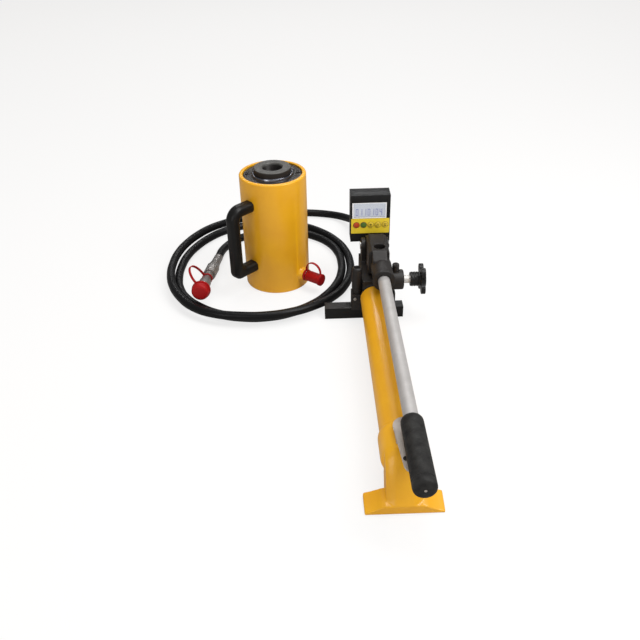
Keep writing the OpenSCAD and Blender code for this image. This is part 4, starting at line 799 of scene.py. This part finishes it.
REST_Z, REST_T, REST_EDGE = 77.45, 2.0, 0.4
REST_X, REST_Y, REST_R = 169, -507, 17
TIP_X, TIP_Y, TIP_R, TIP_TURN = 171.5, -573, 14.5, 193
PAD_LOW, PAD_HIGH = (154, -530, 62), (170, -500, 78.4)
SEAT_R, SEAT_Y, SEAT_LENGTH = 26.4, -540, 60

rest_line = arc(REST_X, REST_Y, REST_R, 0, 180, 20) + arc(TIP_X, TIP_Y, TIP_R, TIP_TURN, 360, 18)
rest = plate("rest_plate", rest_line, REST_T, placed(0, 0, REST_Z))
fuse(rest, block("rest_pad", PAD_LOW, PAD_HIGH))
cut(rest, rod("ring_wall", (PUMP_X, SEAT_Y, TUBE_Z), (0, 1, 0), SEAT_R, SEAT_LENGTH, 96))
soften(rest, REST_EDGE)
keep(rest, REST_STEEL, "tester", "bright_steel", "lever_rest")

# Lever grip: a moulded sleeve with an end rim and a small nub

GRIP_X, GRIP_END, GRIP_Z, GRIP_R = 173.5, -630, 94, 14.25
GRIP = placed(GRIP_X, GRIP_END, GRIP_Z) @ spun(-90, "X")
GRIP_LINE = [(0, 0.6), (6, 0.7), (9.6, 1.1), (12, 2.0), (13.4, 3.4), (14.1, 5.4), (GRIP_R, 7.4),
             (GRIP_R, 12.2), (13.8, 12.7), (13.8, 13.6), (GRIP_R, 14.1), (GRIP_R, 110), (13.9, 113),
             (12.9, 115.2), (11.4, 116), (9.56, 116), (9.56, 12), (0, 12)]
NUB_LINE = [(0, 0.1), (1.0, 0.2), (1.7, 0.6), (1.9, 1.2), (0, 1.2)]

grip = smooth(turned("lever_sleeve", GRIP_LINE, GRIP, 72), 40)
keep(grip, GRIP_RUBBER, "lever", "grip_rubber", "lever_grip")
nub = smooth(turned("sleeve_nub", NUB_LINE, GRIP, 24), 60)
keep(nub, REST_STEEL, "lever", "bright_steel")

# Screw in the lever rest

SCREW_X, SCREW_Y = 161, -564
SCREW_LINE = [(0, 0), (2.0, 0), (2.0, 2), (3.4, 2), (3.4, 2.9), (2.6, 3.6), (0, 3.6)]

rest_screw = smooth(turned("rest_screw", SCREW_LINE, placed(SCREW_X, SCREW_Y, REST_Z), 32), 40)
keep(rest_screw, BLACK_STEEL, "tester", "black_steel")

# Display: white frame, pane and plain digits

CASE_FRONT = -48.0
FRAME_FRONT, FRAME_BACK, FRAME_EDGE = CASE_FRONT - 0.3, CASE_FRONT + 0.1, 0.12
FRAME_LEFT, FRAME_RIGHT, FRAME_UNDER, FRAME_OVER = 1.5, 1.0, 1.4, 0.7
LAP_LEFT, LAP_RIGHT, LAP_UNDER, LAP_OVER = 0.5, 0.4, 0.5, 0.3
PANE_GAP, PANE_EDGE = 0.2, 0.1
SEGMENTS = {"0": "abcdef", "1": "bc", "4": "fgbc"}
DIGITS = "0110104"
DIGIT_WIDE, DIGIT_HIGH, DIGIT_BAR, DIGIT_STEP = 4.2, 12, 1.0, 6.7
DIGIT_IN, DIGIT_UP = 4.5, 2.6
DIGIT_FRONT, DIGIT_BACK = 0.12, 0.05

lcd_low, lcd_high = limits("lcd_window")
face_y = limits("lcd_display")[0][1]
frame_x0, frame_x1 = lcd_low[0] - FRAME_LEFT, lcd_high[0] + FRAME_RIGHT
frame_z0, frame_z1 = lcd_low[2] - FRAME_UNDER, lcd_high[2] + FRAME_OVER
frame_bars = [block("frame_bar", (x0, FRAME_FRONT, z0), (x1, FRAME_BACK, z1)) for x0, x1, z0, z1 in (
    (frame_x0, frame_x1, lcd_high[2] - LAP_OVER, frame_z1),
    (frame_x0, frame_x1, frame_z0, lcd_low[2] + LAP_UNDER),
    (frame_x0, lcd_low[0] + LAP_LEFT, frame_z0, frame_z1),
    (lcd_high[0] - LAP_RIGHT, frame_x1, frame_z0, frame_z1))]
lcd_frame = soften(fuse(*frame_bars), FRAME_EDGE)
keep(lcd_frame, FRAME_WHITE, "tester", "display_face")

pane = soften(block("window_glass", lcd_low, (lcd_high[0], face_y - PANE_GAP, lcd_high[2])), PANE_EDGE)
keep(pane, GLASS, "tester", "display_glass", "lcd_window")


def digit(sign, x, z):
    """A plain seven-bar digit on the display's face, from its lower left corner."""
    x1, z1, mid = x + DIGIT_WIDE, z + DIGIT_HIGH, z + DIGIT_HIGH / 2
    places = {"a": (x, z1 - DIGIT_BAR, x1, z1), "g": (x, mid - DIGIT_BAR / 2, x1, mid + DIGIT_BAR / 2),
              "d": (x, z, x1, z + DIGIT_BAR), "f": (x, mid, x + DIGIT_BAR, z1),
              "e": (x, z, x + DIGIT_BAR, mid), "b": (x1 - DIGIT_BAR, mid, x1, z1),
              "c": (x1 - DIGIT_BAR, z, x1, mid)}
    return [block("digit_bar", (places[k][0], face_y - DIGIT_FRONT, places[k][1]),
                  (places[k][2], face_y + DIGIT_BACK, places[k][3])) for k in SEGMENTS[sign]]


bars = []
for i, sign in enumerate(DIGITS):
    bars += digit(sign, lcd_low[0] + DIGIT_IN + DIGIT_STEP * i, lcd_low[2] + DIGIT_UP)
keep(join("lcd_digits", *bars), LCD_DIGIT, "tester", "display_face")

# Keys: each with a rim in the panel, three of them with plain raised marks

KEY_EDGE = 0.5
RIM_Y = -48.6
RIM_LINE = [(5.0, 0), (5.6, 0), (5.6, 0.2), (5.3, 0.34), (5.0, 0.26)]
MARK_FRONT, MARK_BACK = 0.06, 0.2
UPPER_BAR, UPRIGHT_BAR, LOWER_BAR = (-2.2, 0.9, 2.2, 1.7), (-0.4, -1.6, 0.4, 2.6), (-2.6, -2.4, 1.6, -1.7)
SIGNED_KEYS = {"key_left": [UPPER_BAR, UPRIGHT_BAR, LOWER_BAR], "key_middle": [UPPER_BAR, LOWER_BAR],
               "key_right": [UPPER_BAR, UPRIGHT_BAR, LOWER_BAR]}

for key, slot, body in (("key_red", "red_key", "red_key"), ("key_green", "green_key", "green_key"),
                        ("key_left", "yellow_key", "left_key"), ("key_middle", "yellow_key", "middle_key"),
                        ("key_right", "yellow_key", "right_key")):
    low, high = limits(key)
    x, z = (low[0] + high[0]) / 2, (low[2] + high[2]) / 2
    refine(key, body, slot, KEY_EDGE)
    rim = smooth(turned(key + "_rim", RIM_LINE, placed(x, RIM_Y, z) @ spun(90, "X"), 40), 50)
    keep(rim, KEY_SOFT if key in SIGNED_KEYS else KEY_DARK, "tester", "black_plastic")
    if key in SIGNED_KEYS:
        front, back = low[1] - MARK_FRONT, low[1] + MARK_BACK
        bars = [block("mark_bar", (x + x0, front, z + z0), (x + x1, back, z + z1))
                for x0, z0, x1, z1 in SIGNED_KEYS[key]]
        keep(join(key + "_mark", *bars), KEY_RING, body, "black_plastic")

# Floor: white to the camera, with the object's shadow, and dim in reflections

FLOOR_SIZE, FLOOR_DROP = 12, 0.0005
WHITE = (1, 1, 1, 1)
FLOOR_PAPER, FLOOR_ROUGH = (0.86, 0.86, 0.86, 1), 0.9
SEEN_SHARE, MIRROR_SHARE, MIRROR_GLOW = 0.76, 0.75, 0.2

pick()
bpy.ops.mesh.primitive_plane_add(size=FLOOR_SIZE, location=(0, 0, -FLOOR_DROP))
floor = settle(called("floor"))
paper = bpy.data.materials.new("paper_floor")
paper.use_nodes = True
tree = paper.node_tree
base = tree.nodes["Principled BSDF"]
base.inputs["Base Color"].default_value = FLOOR_PAPER
base.inputs["Roughness"].default_value = FLOOR_ROUGH
glow = add_node(tree, "ShaderNodeEmission", {"Color": WHITE, "Strength": 1.0})
path = add_node(tree, "ShaderNodeLightPath")
share = add_node(tree, "ShaderNodeMath", {0: path.outputs["Is Camera Ray"], 1: SEEN_SHARE},
                 operation="MULTIPLY")
blend = add_node(tree, "ShaderNodeMixShader", {0: share.outputs[0], 1: base.outputs[0], 2: glow.outputs[0]})
dim = add_node(tree, "ShaderNodeEmission", {"Color": WHITE, "Strength": MIRROR_GLOW})
gloss = add_node(tree, "ShaderNodeMath", {0: path.outputs["Is Glossy Ray"], 1: MIRROR_SHARE},
                 operation="MULTIPLY")
calm = add_node(tree, "ShaderNodeMixShader", {0: gloss.outputs[0], 1: blend.outputs[0], 2: dim.outputs[0]})
tree.links.new(calm.outputs[0], tree.nodes["Material Output"].inputs["Surface"])
dress(floor, paper)

# World: a warm soft light all round, dim in reflections and white to the camera

AMBIENT, AMBIENT_GLOW, MIRRORED_GLOW = (1, 0.90, 0.80, 1), 0.38, 0.22

world = bpy.data.worlds.new("studio")
bpy.context.scene.world = world
world.use_nodes = True
sky = world.node_tree
ambient = sky.nodes["Background"]
ambient.inputs["Color"].default_value = AMBIENT
ambient.inputs["Strength"].default_value = AMBIENT_GLOW
plain = add_node(sky, "ShaderNodeBackground", {"Color": WHITE, "Strength": 1.0})
mirrored = add_node(sky, "ShaderNodeBackground", {"Color": WHITE, "Strength": MIRRORED_GLOW})
ray = add_node(sky, "ShaderNodeLightPath")
seen = add_node(sky, "ShaderNodeMixShader", {0: ray.outputs["Is Glossy Ray"], 1: ambient.outputs[0],
                                             2: mirrored.outputs[0]})
choice = add_node(sky, "ShaderNodeMixShader", {0: ray.outputs["Is Camera Ray"], 1: seen.outputs[0],
                                               2: plain.outputs[0]})
sky.links.new(choice.outputs[0], sky.nodes["World Output"].inputs["Surface"])

# Lamps: name, place, target, size in metres, and power in watts


def lamp(name, place, target, size, power):
    data = bpy.data.lights.new(name, "AREA")
    data.shape = "RECTANGLE"
    data.size, data.size_y = size
    data.energy = power
    o = bpy.data.objects.new(name, data)
    bpy.context.scene.collection.objects.link(o)
    o.location = place
    o.rotation_euler = (Vector(target) - Vector(place)).to_track_quat("-Z", "Y").to_euler()


lamp("window_right", (0.85, -0.55, 1.25), (0.0, -0.05, 0.15), (0.6, 0.8), 14)
lamp("top_box", (0.2, 0.1, 2.2), (0.05, -0.1, 0), (1.3, 1.1), 20)
lamp("back_strip", (0.25, 2.4, 1.75), (0.1, 0, 0.1), (2.0, 0.16), 11)
lamp("front_fill", (-1.2, -1.8, 1.1), (0, -0.1, 0.1), (1.0, 1.0), 8)
lamp("foot_fill", (0.1, -1.35, 0.6), (0.16, -0.58, 0.02), (1.1, 0.8), 0.9)

bpy.context.scene.view_settings.view_transform = "Standard"
